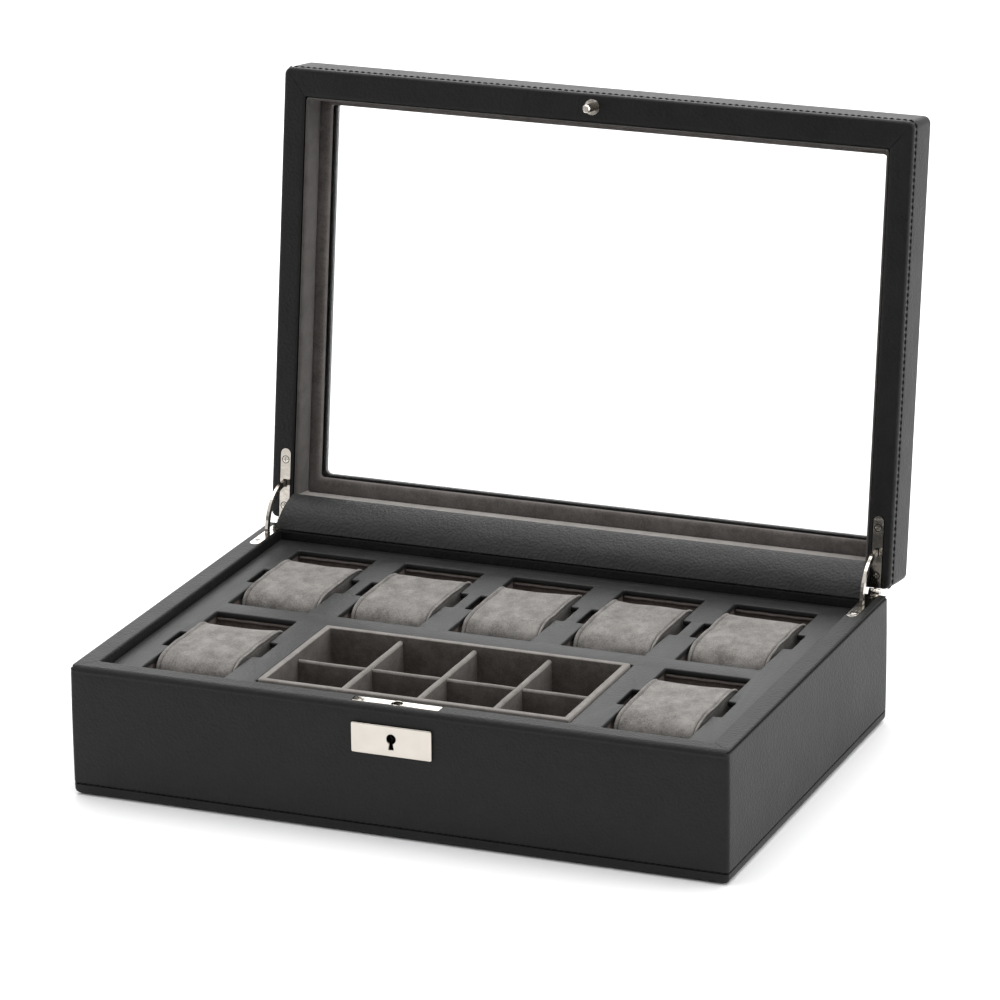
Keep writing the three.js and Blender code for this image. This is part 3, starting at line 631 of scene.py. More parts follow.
if len(front_lip) != len(side_lip):
    raise ValueError("the two lips need as many rows as each other")
print("rows up the lip:", len(front_lip))

# %% [markdown]
# The sweep places every row as a ring. The ring's corner points sit on the mitre lines, so
# lowering them on the top face opens the mitre seams. A slow ripple of a tenth of a millimetre
# keeps the long faces from looking machined.


# %% Sweep the section into a shell
def sweep_shell(name, rows, sides, radii, counts, mitre_rows, mitre_depth, ripple, finish,
                painted_shade_levels=()):
    """rows hold ((inset, z) at the front, (inset, z) elsewhere, (side, front, rear) insets)."""
    points = []
    rings = len(rows)
    for level, (at_front, elsewhere, extra) in enumerate(rows):
        radius = radii[level]
        grow = [elsewhere[0] + extra[0], at_front[0] + extra[1], elsewhere[0] + extra[2]]
        inset_sides = (
            sides[0] + grow[0], sides[1] - grow[0], sides[2] + grow[1], sides[3] - grow[2],
        )
        outline = ring_outline(inset_sides, radius, counts)
        for x, y, along, at_corner in outline:
            share = front_share(along)
            z = at_front[1] * share + elsewhere[1] * (1 - share)
            mid_corner = at_corner and abs((along % 1) - 0.25) < 0.01
            if mid_corner and level in mitre_rows:
                z -= mitre_depth
            spread = noise.noise(Vector((x * 0.035, y * 0.035, z * 0.05))) * ripple
            dx, dy = (x, 0) if abs(x) / sides[1] > abs(y) / sides[3] else (0, y)
            size = math.hypot(dx, dy) or 1
            points.append((x + spread * dx / size, y + spread * dy / size, z))
    ring = len(points) // rings
    faces = tube_faces(rings, ring, closed=True)
    shell = make_piece(name, points, faces, finish, smooth_angle=50)
    # The faces of the listed levels are painted black as painted shade in the seam there.
    off_front = [i for i, spot in enumerate(outline) if front_share(spot[2]) < 0.5]
    dark = [level * ring + i for level, all_round in painted_shade_levels
            for i in (range(ring) if all_round else off_front)]
    paint(shell, seam_painted_shade, dark)
    return shell


STEPS = (64, 46)  # points along the long sides and the short sides
NO_EXTRA = (0.0, 0.0, 0.0)
inner_extra = (WALL_SIDE, WALL_FRONT, WALL_REAR)
case_rows = [(row, row, NO_EXTRA) for row in foot_rows + welt_rows + face_rows]
case_rows += [(f, s, NO_EXTRA) for f, s in zip(front_lip, side_lip)]
outer_count = len(case_rows)
top_levels = []
for share in (0.44, 0.58, 0.73, 0.87):
    top_levels.append(len(case_rows))
    part_way = tuple(share * width for width in inner_extra)
    case_rows.append(((0.0, CASE_TOP), (0.0, CASE_TOP), part_way))
for step in range(5):
    angle = math.radians(90 * (step + 1) / 5)
    drop = (-1.2 + 1.2 * math.sin(angle), CASE_TOP - 1.2 + 1.2 * math.cos(angle))
    case_rows.append((drop, drop, inner_extra))
for z in (65.5, 60.0, 30.0, 1.0, 0.3):
    case_rows.append(((0.0, z), (0.0, z), inner_extra))
case_radii = []
for at_front, elsewhere, extra in case_rows:
    depth_in = max(at_front[0], elsewhere[0]) + extra[0]
    case_radii.append(max(CASE_CORNER - depth_in, 0.9) if extra is NO_EXTRA else 0.9)
SHELL_SIDES = (-HALF_W, HALF_W, FRONT_FACE, REAR_FACE)
# The welt's ring and the ring under the side and rear lip are painted black as painted shade.
case_leather = sweep_shell(
    "case_leather", case_rows, SHELL_SIDES, case_radii, STEPS,
    {*top_levels, outer_count - 1, outer_count - 2}, 0.3, -0.06, leatherette,
    [(len(foot_rows) + 1, True), (outer_count - 9, False)],
)
print("case shell faces:", len(case_leather.data.polygons))

# %% [markdown]
# The pockets for the hinges and the lock are cut with a router before the fittings go in. Here a
# cutting shape is taken out of the shell for each: the leaf's shallow bed, the deep mortise that
# the curved stay swings into, the lock's bed and its body, and the keyhole.

# %% Cut the pockets
leaf_low, leaf_high = node_box_mm("hinge_right_case_leaf")
LEAF_X = (leaf_low[0] + leaf_high[0]) / 2
LEAF_HALF = (leaf_high[0] - leaf_low[0]) / 2
LEAF_FRONT = leaf_low[1]
hinge_y_mm = HINGE_Y / MM
STAY_FAR, STAY_NEAR = 23.4, 9.6  # the mortise, measured forward from the hinge pin
STAY_HALF = 1.3
STAY_DEPTH = 23.6
LEAF_BED = 1.0
PAST_FACE = 1.8  # a cutter starts this far outside the face
FIT = 0.3  # the gap left round a fitting


def leaf_outline(x, ease):
    half = LEAF_HALF + ease
    outline = [(x + half, REAR_FACE + 4), (x - half, REAR_FACE + 4)]
    for i in range(13):
        a = math.pi + math.pi * i / 12
        outline.append((x + half * math.cos(a), LEAF_FRONT + LEAF_HALF + half * math.sin(a)))
    return outline


def cut_hinge_beds(shell, face_z, into, place=None):
    for x in (-LEAF_X, LEAF_X):
        bed = sorted((face_z - into * LEAF_BED, face_z + into * PAST_FACE))
        cut(shell, leaf_outline(x, FIT), bed[0], bed[1], place)
        well = sorted((face_z + into * LEAF_BED, face_z + into * STAY_DEPTH))
        mortise = rectangle_outline(
            x - STAY_HALF, x + STAY_HALF, hinge_y_mm - STAY_FAR, hinge_y_mm - STAY_NEAR
        )
        cut(shell, mortise, well[0], well[1], place)


cut_hinge_beds(case_leather, CASE_TOP, -1)
plate_low, plate_high = node_box_mm("lock_top_plate")


def bed_outline(low, high, gap=FIT):
    return rectangle_outline(low[0] - gap, high[0] + gap, low[1] - gap, high[1] + gap)


cut(case_leather, bed_outline(plate_low, plate_high), plate_low[2] - FIT, CASE_TOP + 2)
lock_low, lock_high = node_box_mm("lock_case")
cut(case_leather, bed_outline(lock_low, lock_high), lock_low[2] - FIT, plate_low[2])
shield_low, shield_high = node_box_mm("keyhole_plate")
KEYHOLE_Z = shield_low[2] + 9.5
KEY_BORE = 3.0  # the hole through the board is wider than the one in the plate
KEY_SLOT_HALF, KEY_SLOT_LONG = 1.9, 6.6
TO_FRONT = Matrix(((1, 0, 0, 0), (0, 0, -1, 0), (0, 1, 0, 0), (0, 0, 0, 1)))
key_slot = rectangle_outline(
    -KEY_SLOT_HALF, KEY_SLOT_HALF, KEYHOLE_Z - KEY_SLOT_LONG, KEYHOLE_Z
)
for outline in (circle_outline(0, KEYHOLE_Z, KEY_BORE), key_slot):
    cut(case_leather, outline, -lock_low[1] - 1, -FRONT_FACE + 1, TO_FRONT)
bake_modifiers(case_leather, 50)
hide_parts(*[f"case_wall_{s}" for s in ("front", "rear", "left", "right")])
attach(case_leather, "case")
print("case shell after cutting, faces:", len(case_leather.data.polygons))

# %% [markdown]
# ## Stitching
#
# A machine-sewn line runs round the foot of the case and round the lid's outer edge. Each stitch
# is a short, tight, slightly bowed bar that dips into its hole at both ends. They are small real
# bodies rather than a printed line, so they catch the light one by one.


# %% Sew a line of stitches
STITCH_SIDES = 6
# distance along the stitch, girth and height, as shares of its length and thickness
STITCH_SHAPE = ((-0.5, 0.25, -0.5), (-0.36, 0.8, 0.1), (-0.12, 1.0, 0.32), (0.12, 1.0, 0.32),
                (0.36, 0.8, 0.1), (0.5, 0.25, -0.5))
STITCH_TILT = 0.1
GOLDEN_TURN = 2.399  # radians; it never repeats, so no two neighbours lean alike


def sew(name, path, outwards, pitch, length, thickness, body, place=None):
    """path is a closed list of points; outwards gives each point's direction off the face."""
    spans = []
    total = 0.0
    for a, b in zip(path, path[1:] + path[:1]):
        spans.append((total, (Vector(b) - Vector(a)).length))
        total += spans[-1][1]
    count = int(total / pitch)
    points = []
    faces = []
    span = 0
    for number in range(count):
        at = number * total / count
        while span + 1 < len(spans) and spans[span + 1][0] <= at:
            span += 1
        a = Vector(path[span])
        b = Vector(path[(span + 1) % len(path)])
        share = (at - spans[span][0]) / max(spans[span][1], 1e-6)
        middle = a.lerp(b, share)
        along = (b - a).normalized()
        out = Vector(outwards[span]).lerp(Vector(outwards[(span + 1) % len(path)]), share)
        out.normalize()
        across = along.cross(out).normalized()
        tilt = STITCH_TILT * math.sin(number * GOLDEN_TURN)
        start = len(points)
        for t, girth, lift in STITCH_SHAPE:
            centre = middle + along * (t * length) + out * (lift * thickness)
            centre += across * (tilt * t * length)
            for k in range(STITCH_SIDES):
                angle = 2 * math.pi * k / STITCH_SIDES
                ring = out * math.cos(angle) + across * math.sin(angle)
                points.append(tuple(centre + ring * (girth * thickness / 2)))
        faces += tube_faces(len(STITCH_SHAPE), STITCH_SIDES, start=start)
        faces.append(tuple(range(start + STITCH_SIDES - 1, start - 1, -1)))
        faces.append(tuple(range(len(points) - STITCH_SIDES, len(points))))
    thread = make_piece(name, points, faces, thread_wax, smooth_angle=70)
    if place is not None:
        thread.data.transform(place)
    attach(thread, body)
    print(name, "has", count, "stitches")
    return thread


def seam_path(inset, z, radius):
    sides = (SHELL_SIDES[0] + inset, SHELL_SIDES[1] - inset,
             SHELL_SIDES[2] + inset, SHELL_SIDES[3] - inset)
    path = []
    outwards = []
    for x, y, _, _ in ring_outline(sides, radius, STEPS):
        path.append((x, y, z))
        cx = max(min(x, sides[1] - radius), sides[0] + radius)
        cy = max(min(y, sides[3] - radius), sides[2] + radius)
        outwards.append((Vector((x - cx, y - cy, 0))).normalized())
    return path, outwards


foot_path, foot_out = seam_path(0.62, WELT_Z, CASE_CORNER - 0.6)
sew("stitching_foot", foot_path, foot_out, 3.4, 2.5, 0.55, "case")

# %% [markdown]
# ## The insert panel
#
# A board wrapped in the same leatherette drops inside the case. It is cut for seven watch places,
# each with a finger notch at either side, and for the tray. The skin is turned down through every
# opening, which leaves a soft edge. A flat outline with holes, given a little bevel, is exactly
# that form.


# %% Make plates with cut-outs
def eased(outline, radius, steps=4):
    """Rounds each corner of an outline; works for inner and outer corners."""
    result = []
    count = len(outline)
    for i in range(count):
        before = Vector(outline[i - 1])
        here = Vector(outline[i])
        after = Vector(outline[(i + 1) % count])
        back = (before - here)
        on = (after - here)
        reach = min(radius, back.length * 0.45, on.length * 0.45)
        a = here + back.normalized() * reach
        b = here + on.normalized() * reach
        for step in range(steps + 1):
            t = step / steps
            result.append(tuple(a * (1 - t) ** 2 + here * (2 * t * (1 - t)) + b * t ** 2))
    return result


def plate(name, outline, holes, low, high, bevel, finish, place=None):
    data = bpy.data.curves.new(name, "CURVE")
    data.dimensions = "2D"
    data.fill_mode = "BOTH"
    data.extrude = ((high - low) / 2 - bevel) * MM
    data.bevel_depth = bevel * MM
    data.bevel_resolution = 3
    data.offset = -bevel * MM
    for loop in (outline, *holes):
        spline = data.splines.new("POLY")
        spline.points.add(len(loop) - 1)
        for point, (x, y) in zip(spline.points, loop):
            point.co = (x * MM, y * MM, 0, 1)
        spline.use_cyclic_u = True
    outline_object = bpy.data.objects.new(name + "_outline", data)
    bpy.context.collection.objects.link(outline_object)
    bpy.context.view_layer.update()
    seen = outline_object.evaluated_get(bpy.context.evaluated_depsgraph_get())
    mesh = bpy.data.meshes.new_from_object(seen)
    bpy.data.objects.remove(outline_object)
    build = bmesh.new()
    build.from_mesh(mesh)
    bmesh.ops.remove_doubles(build, verts=build.verts, dist=0.00001)
    bmesh.ops.recalc_face_normals(build, faces=build.faces)
    build.to_mesh(mesh)
    build.free()
    mesh.transform(Matrix.Translation((0, 0, (low + high) / 2 * MM)))
    if place is not None:
        mesh.transform(place)
    mesh.materials.clear()
    mesh.materials.append(finish)
    mesh.shade_smooth()
    mesh.set_sharp_from_angle(angle=math.radians(50))
    piece = bpy.data.objects.new(name, mesh)
    bpy.context.collection.objects.link(piece)
    return piece


PLACES = [f"rear_{i}" for i in range(1, 6)] + ["front_1", "front_2"]
panel_low, panel_high = node_box_mm("insert_panel")
LINER_OUT = 1.8  # a liner's outer face stands this far behind the panel's edge
NOTCH_DEPTH = 4.8
NOTCH_LENGTH = 22.0


def place_outline(name):
    low, high = node_box_mm(f"well_liner_{name}")
    x0, x1 = low[0] + LINER_OUT + NOTCH_DEPTH, high[0] - LINER_OUT - NOTCH_DEPTH
    y0, y1 = low[1] + LINER_OUT, high[1] - LINER_OUT
    middle = (y0 + y1) / 2
    n0, n1 = middle - NOTCH_LENGTH / 2, middle + NOTCH_LENGTH / 2
    d = NOTCH_DEPTH
    return [(x1, y0), (x1, n0), (x1 + d, n0), (x1 + d, n1), (x1, n1), (x1, y1),
            (x0, y1), (x0, n1), (x0 - d, n1), (x0 - d, n0), (x0, n0), (x0, y0)]


tray_low, tray_high = node_box_mm("tray_box")
TRAY_GAP = 0.8
tray_opening = bed_outline(tray_low, tray_high, TRAY_GAP)
panel_outline = bed_outline(panel_low, panel_high, 0)
openings = [eased(place_outline(p), 0.9) for p in PLACES] + [eased(tray_opening, 1.2)]
# The panel takes the lighter copy of the leatherette, painted light on its upward face.
insert_panel = plate(
    "insert_panel_leather", eased(panel_outline, 1.0), openings,
    panel_low[2], panel_high[2], 0.8, panel_painted_light_leather,
)
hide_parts("insert_panel")
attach(insert_panel, "case")
print("insert panel faces:", len(insert_panel.data.polygons))

# %% [markdown]
# ## Well liners and what lies under them
#
# The wells are lined with thin suede-covered card. The card's own shape is already right, so it
# only needs its covering and a softened rim. The block, the boards, the foam and the felt get
# their own surfaces too.


# %% Cover the liners and the hidden layers
def cover(node, finish, soften=None):
    piece = frame["nodes"][node]
    piece.data.materials.clear()
    piece.data.materials.append(finish)
    if soften:
        edge = piece.modifiers.new("soft_edge", "BEVEL")
        edge.width = soften * MM
        edge.segments = 3
        edge.limit_method = "ANGLE"
        edge.angle_limit = math.radians(40)
        edge.harden_normals = False
    return piece


# The liners take the darker suede, painted shade in the deep wells.
for place_name in PLACES:
    cover(f"well_liner_{place_name}", well_painted_shade_suede, 0.35)


EDGE_SIDES = 8
EDGE_RADIUS = 0.75
EDGE_SAG = 0.12


def liner_edge(name):
    """The liner's turned top edge, which just shows under the panel at the rear."""
    low, high = node_box_mm(f"well_liner_{name}")
    inwards = LINER_OUT + NOTCH_DEPTH + 0.4
    x0, x1 = low[0] + inwards, high[0] - inwards
    y, z, radius = high[1] - LINER_OUT + 0.15, high[2] - EDGE_RADIUS, EDGE_RADIUS
    points = []
    steps = 24
    for number in range(steps + 1):
        x = x0 + (x1 - x0) * number / steps
        sag = EDGE_SAG * math.sin(number * 0.9 + x0)
        for k in range(EDGE_SIDES):
            angle = 2 * math.pi * k / EDGE_SIDES
            points.append((x, y + radius * math.cos(angle), z + sag + radius * math.sin(angle)))
    faces = tube_faces(steps + 1, EDGE_SIDES)
    faces.append(tuple(range(EDGE_SIDES)))
    faces.append(tuple(range(len(points) - 1, len(points) - 1 - EDGE_SIDES, -1)))
    # Its suede is darker than the well's: painted shade under the panel's edge.
    edge = make_piece(f"well_edge_{name}", points, faces, rim_painted_shade_suede)
    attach(edge, "case")


for place_name in PLACES:
    liner_edge(place_name)
cover("insert_block", fibreboard)
cover("bottom_board", fibreboard)
cover("foam_underlay", foam)
cover("underside_felt", felt, 0.5)
print("covered nodes:", len(PLACES) + 4)

# %% [markdown]
# ## Watch cushions
#
# Each cushion is a foam block in a suede sleeve: a band runs round the long way, and two flat
# cheeks close the sides. The band is sewn to each cheek with a raised seam, so a fine ridge with a
# pressed groove beside it follows every edge. The groove's line is painted dark as painted shadow,
# and the cheeks are painted darker than the band as painted shade.
#
# The form is shaped in code, without a cloth simulation. It is a grid of rows round a soft
# rectangle, moved a little by smooth noise to look unevenly stuffed, with the rear edge sunk
# between its corners. The seam's ridge and groove are pressed into the subdivided mesh, where the
# grid was made finer for them.

# %% Measure the cushions
cushion_low, cushion_high = node_box_mm("cushion_rear_1")
CUSHION_HALF_W = (cushion_high[0] - cushion_low[0]) / 2
CUSHION_HALF_L = (cushion_high[1] - cushion_low[1]) / 2
CUSHION_HALF_H = (cushion_high[2] - cushion_low[2]) / 2
ROUNDNESS = 5.0  # 2 is an ellipse; larger is squarer
AROUND = 76
CUSHION_INSET = 1.0  # the band stays about this far inside the measured cushion
SEAM_AT = CUSHION_HALF_W - 1.9
print("cushion, in mm:", [round(2 * v, 1) for v in
                          (CUSHION_HALF_W, CUSHION_HALF_L, CUSHION_HALF_H)])


def soft_rectangle(half_y, half_z, count):
    """Evenly spaced points round the cushion as seen from its side."""
    dense = []
    for i in range(1440):
        a = 2 * math.pi * i / 1440
        c, s = math.cos(a), math.sin(a)
        power = 2 / ROUNDNESS
        dense.append((half_y * math.copysign(abs(c) ** power, c),
                      half_z * math.copysign(abs(s) ** power, s)))
    lengths = [0.0]
    for (y0, z0), (y1, z1) in zip(dense, dense[1:] + dense[:1]):
        lengths.append(lengths[-1] + math.hypot(y1 - y0, z1 - z0))
    points = []
    at = 0
    for i in range(count):
        want = lengths[-1] * i / count
        while lengths[at + 1] < want:
            at += 1
        points.append(dense[at])
    return points


# %% Build and seam a cushion
BAND = [0.0, 3.4, 6.8, 10.2, 13.4, 16.0, 17.6, 18.5, 19.2, 19.8, 20.4, 20.9, 21.3]
CHEEK = [0.985, 0.955, 0.91, 0.85, 0.77, 0.67, 0.55, 0.42, 0.28, 0.14]
LUMPS = 0.42  # how far the stuffing wanders
NOISE_SEED = 7
REAR_DIP = 1.5  # how far the rear edge sinks between its corners
CHEEK_INSET = 0.35
CHEEK_REACH = 20  # from the seam to the middle of a cheek, along the marks


def bell(at, centre, width):
    return math.exp(-(((at - centre) / width) ** 2))


def cushion_grid(seed):
    loop = soft_rectangle(CUSHION_HALF_L - CUSHION_INSET, CUSHION_HALF_H - CUSHION_INSET, AROUND)
    wide = CUSHION_HALF_W / (BAND[-1] + 0.3)
    across = [-x * wide for x in reversed(BAND[1:])] + [x * wide for x in BAND]
    rows = [(-1, s) for s in reversed(CHEEK)] + [(0, x) for x in across]
    rows += [(1, s) for s in CHEEK]
    points = []
    station = []
    edge = CUSHION_HALF_W - CHEEK_INSET
    for kind, value in rows:
        for y, z in loop:
            if kind == 0:
                points.append((value, y, z))
                station.append(value)
            else:
                points.append((kind * edge, y * value, z * value))
                station.append(kind * (edge + (1 - value) * CHEEK_REACH))
    faces = tube_faces(len(rows), AROUND)
    for start, side in ((0, -1), ((len(rows) - 1) * AROUND, 1)):
        hub = len(points)
        points.append((side * edge, 0, 0))
        station.append(side * (edge + CHEEK_REACH))
        for i in range(AROUND):
            j = (i + 1) % AROUND
            faces.append((start + i, start + j, hub))
    jitter = Vector((seed * 7.1, seed * 3.3, seed * 5.7))
    shaken = []
    dip = REAR_DIP + 0.8 * math.sin(seed * 2.4)
    lean = 0.35 * math.sin(seed * 1.7)
    for p in points:
        wander = noise.noise_vector((Vector(p) * 0.09) + jitter) * LUMPS
        rear = max(0.0, p[1] / CUSHION_HALF_L - 0.5) * 2
        if p[2] > 0:
            across = 1 - (p[0] / CUSHION_HALF_W - lean) ** 2
            wander.z -= dip * rear ** 2 * max(across, -0.2)
        shaken.append(tuple(Vector(p) + wander))
    return shaken, faces, station


def press_seams(piece):
    """Raises the sewn ridge and sinks the line beside it."""
    station = piece.data.attributes["station"].data
    normals = [v.normal.copy() for v in piece.data.vertices]
    for i, vertex in enumerate(piece.data.vertices):
        at = abs(station[i].value)
        ridge = 0.5 * bell(at, CUSHION_HALF_W - 0.75, 0.62)
        line = -0.85 * bell(at, SEAM_AT, 0.42)
        cheek_line = -0.35 * bell(at, CUSHION_HALF_W + 0.9, 0.6)
        vertex.co += normals[i] * ((ridge + line + cheek_line) * MM)


def colour_seams(piece):
    """Paints shade: the cheeks darker as painted shade, the sewn line darker still as painted
    shadow.
    """
    station = piece.data.attributes["station"].data
    line, shaded_cheeks = [], []
    for face in piece.data.polygons:
        at = sum(abs(station[v].value) for v in face.vertices) / len(face.vertices)
        if abs(at - SEAM_AT) < 0.24:
            line.append(face.index)
        elif at > CUSHION_HALF_W - 0.1:
            shaded_cheeks.append(face.index)
    paint(piece, cushion_seam_painted_shade, line)
    paint(piece, cheek_painted_shade_suede, shaded_cheeks)


def make_cushion(place_name, seed):
    low, high = node_box_mm(f"cushion_{place_name}")
    middle = [(a + b) / 2 for a, b in zip(low, high)]
    points, faces, station = cushion_grid(seed)
    cushion = make_piece(f"watch_cushion_{place_name}", points, faces, cushion_suede, 180)
    marks = cushion.data.attributes.new("station", "FLOAT", "POINT")
    for mark, value in zip(marks.data, station):
        mark.value = value
    finer = cushion.modifiers.new("finer", "SUBSURF")
    finer.levels = finer.render_levels = 1
    bake_modifiers(cushion)
    press_seams(cushion)
    colour_seams(cushion)
    cushion.data.shade_smooth()
    cushion.data.transform(Matrix.Translation([m * MM for m in middle]))
    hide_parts(f"cushion_{place_name}")
    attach(cushion, f"cushion_{place_name}")
    return cushion


noise.seed_set(NOISE_SEED)  # without this, noise_vector is seeded from the clock
cushions = [make_cushion(p, i + 1) for i, p in enumerate(PLACES)]
print("cushions:", len(cushions), "with", len(cushions[0].data.vertices), "points each")

# %% [markdown]
# ## The lift-out tray
#
# The tray is a card box covered inside and out in suede, with a full, rounded rim. It is swept the
# same way as the case: up the outside, over the rim, down the inside, and across the floor. The
# dividers are covered card too, so their top edges are round and their ends disappear softly into
# the walls.

# %% Sweep the tray box
TRAY_WALL = 3.6
TRAY_FLOOR = 2.0
tray_sides = (tray_low[0], tray_high[0], tray_low[1], tray_high[1])
tray_rows = []
tray_radii = []
base_z, rim_z = tray_low[2], tray_high[2]
for inset, z, radius in (
    (0.9, base_z, 0.9), (0.3, base_z + 0.3, 1.1), (0.05, base_z + 1.0, 1.2),
    (0.0, base_z + 12, 1.2), (0.05, base_z + 26, 1.2), (0.1, rim_z - 4.5, 1.2),
):
    tray_rows.append((inset, z))
    tray_radii.append(radius)
RIM_ROUND = 0.8
for step in range(6):
    angle = math.radians(90 * step / 5)
    tray_rows.append((0.05 + RIM_ROUND * (1 - math.cos(angle)),
                      rim_z - RIM_ROUND * (1 - math.sin(angle))))
    tray_radii.append(1.2)
tray_rows.append((TRAY_WALL / 2, rim_z + 0.02))
tray_radii.append(1.1)
rim_inner_level = len(tray_rows) + 3
for step in range(6):
    angle = math.radians(90 * (1 - step / 5))
    tray_rows.append((TRAY_WALL - RIM_ROUND * (1 - math.cos(angle)),
                      rim_z - RIM_ROUND * (1 - math.sin(angle))))
    tray_radii.append(0.9)
for inset, z, radius in (
    (TRAY_WALL - 0.1, rim_z - 4.5, 0.9), (TRAY_WALL - 0.05, base_z + 20, 0.9),
    (TRAY_WALL, base_z + TRAY_FLOOR + 1.5, 0.9), (TRAY_WALL + 0.4, base_z + TRAY_FLOOR + 0.4, 0.8),
    (TRAY_WALL + 1.2, base_z + TRAY_FLOOR, 0.7),
):
    tray_rows.append((inset, z))
    tray_radii.append(radius)


def sweep_cup(name, rows, radii, sides, counts, finish):
    points = []
    for (inset, z), radius in zip(rows, radii):
        inner = (sides[0] + inset, sides[1] - inset, sides[2] + inset, sides[3] - inset)
        for x, y, _, _ in ring_outline(inner, radius, counts, 6):
            ripple = 0.07 * noise.noise(Vector((x * 0.09, y * 0.09, z * 0.12)))
            points.append((x + ripple, y + ripple, z))
    ring = len(points) // len(rows)
    faces = tube_faces(len(rows), ring)
    faces.append(tuple(range(ring - 1, -1, -1)))
    faces.append(tuple(range((len(rows) - 1) * ring, len(rows) * ring)))
    return make_piece(name, points, faces, finish, 60)


tray_box = sweep_cup("tray_box_suede", tray_rows, tray_radii, tray_sides, (48, 28), tray_suede)
tray_ring = (len(tray_box.data.polygons) - 2) // (len(tray_rows) - 1)
shaded_inside_from = rim_inner_level * tray_ring
shaded_inside_faces = list(range(shaded_inside_from, (len(tray_rows) - 1) * tray_ring))
# The inside faces and the floor take the darker copy: painted shade inside the tray.
paint(tray_box, tray_inside_painted_shade, shaded_inside_faces + [len(tray_box.data.polygons) - 1])
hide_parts("tray_box")
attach(tray_box, "tray")
print("tray faces:", len(tray_box.data.polygons))


# %% Round the dividers' tops
def divider(node, along_y):
    """A covered card: the section is a tall strip with a round top."""
    low, high = node_box_mm(node)
    thick_axis, long_axis = (0, 1) if along_y else (1, 0)
    half = (high[thick_axis] - low[thick_axis]) / 2
    centre = (high[thick_axis] + low[thick_axis]) / 2
    section = [(-half + 0.1, low[2]), (-half, low[2] + 2), (-half, high[2] - half - 6)]
    for step in range(9):
        angle = math.pi * (1 - step / 8)
        section.append((half * math.cos(angle), high[2] - half + half * math.sin(angle)))
    section += [(half, high[2] - half - 6), (half, low[2] + 2), (half - 0.1, low[2])]
    start, end = low[long_axis] - 0.2, high[long_axis] + 0.2
    steps = 26
    points = []
    for number in range(steps + 1):
        at = start + (end - start) * number / steps
        wander = 0.06 * math.sin(at * 0.11) + 0.05 * math.sin(at * 0.23 + 1.7)
        for side, z in section:
            sag = 0.12 * math.sin(at * 0.09 + 0.6) if z > high[2] - 3 else 0
            pair = (centre + side + wander, at) if along_y else (at, centre + side + wander)
            points.append((*pair, z - abs(sag)))
    ring = len(section)
    faces = tube_faces(steps + 1, ring)
    faces.append(tuple(range(ring)))
    faces.append(tuple(range(steps * ring + ring - 1, steps * ring - 1, -1)))
    piece = make_piece(node + "_suede", points, faces, tray_suede, 60)
    # The sides below the round top take the darker copy: painted shade between the dividers.
    sides = [f.index for f in piece.data.polygons if f.center.z < (high[2] - half) * MM]
    paint(piece, tray_inside_painted_shade, sides)
    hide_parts(node)
    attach(piece, "tray")
    return piece


for number in (1, 2, 3):
    divider(f"tray_divider_{number}", True)
divider("tray_cross_divider", False)
print("dividers: 3 long and 1 across")

# %% [markdown]
# ## Lock fittings
#
# The keyhole plate and the plate let into the front wall's top edge are cut from sheet nickel and
# tumbled, so every edge is slightly round. The same plate helper makes both, one stood upright
# against the front.

# %% Cut the keyhole plate and the top plate
shield_outline = eased(rectangle_outline(
    shield_low[0], shield_high[0], shield_low[2], shield_high[2]), 1.1)


def keyhole_outline(z, radius, foot):
    half_neck, half_foot = 0.85, 1.3
    neck = math.sqrt(radius ** 2 - half_neck ** 2)
    start = math.atan2(-neck, half_neck)
    sweep = 2 * math.pi - 2 * (math.pi / 2 + start)
    outline = []
    for i in range(25):
        a = start + sweep * i / 24
        outline.append((radius * math.cos(a), z + radius * math.sin(a)))
    return outline + [(-half_foot, z - foot), (half_foot, z - foot)]


shield = plate(
    "keyhole_plate_nickel", shield_outline, [keyhole_outline(KEYHOLE_Z - 0.4, 2.45, 5.6)],
    -shield_high[1], -shield_low[1], 0.4, nickel, TO_FRONT,
)
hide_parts("keyhole_plate")
top_plate_outline = eased(rectangle_outline(
    plate_low[0], plate_high[0], plate_low[1], plate_high[1]), 0.8)
PLATE_HOLE = 2.9
lock_y = (plate_low[1] + plate_high[1]) / 2
top_plate = plate(
    "lock_top_plate_nickel", top_plate_outline,
    [circle_outline(0, lock_y, PLATE_HOLE, 32)], plate_low[2], plate_high[2], 0.3, nickel,
)
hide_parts("lock_top_plate")
for piece in (shield, top_plate):
    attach(piece, "case")
for node in ("lock_case", "key_post", "lock_bolt"):
    cover(node, lock_steel, 0.12)
print("keyhole plate and top plate faces:", len(shield.data.polygons),
      len(top_plate.data.polygons))

# %% [markdown]
# ## The lid's leatherette
#
# The lid is a frame of four rails under a narrow top frame, all wrapped in one skin: over the
# mating face, up the outside past a stitched line, round the top edge and down into the window.
# It is drawn closed, where its faces are square to the box, and turned open about the hinge pin
# at the end.

# %% Sweep the lid's shell
LID_LOW = CASE_TOP + 0.3
LID_TALL = 30.5
LID_HIGH = LID_LOW + LID_TALL
LID_CORNER = 4.0
RAIL = (12.8, 15.2, 11.0)  # rail widths at the sides, the front and the rear
WINDOW = (20.4, 20.7, 21.4)  # from the outer faces to the window's edge
LID_SEAM = LID_LOW + 4.4


def flat(inset, z):
    return ((inset, z), (inset, z), NO_EXTRA)


def from_rail(inset, z):
    return ((inset, z), (inset, z), RAIL)


def from_window(inset, z):
    return ((inset, z), (inset, z), WINDOW)


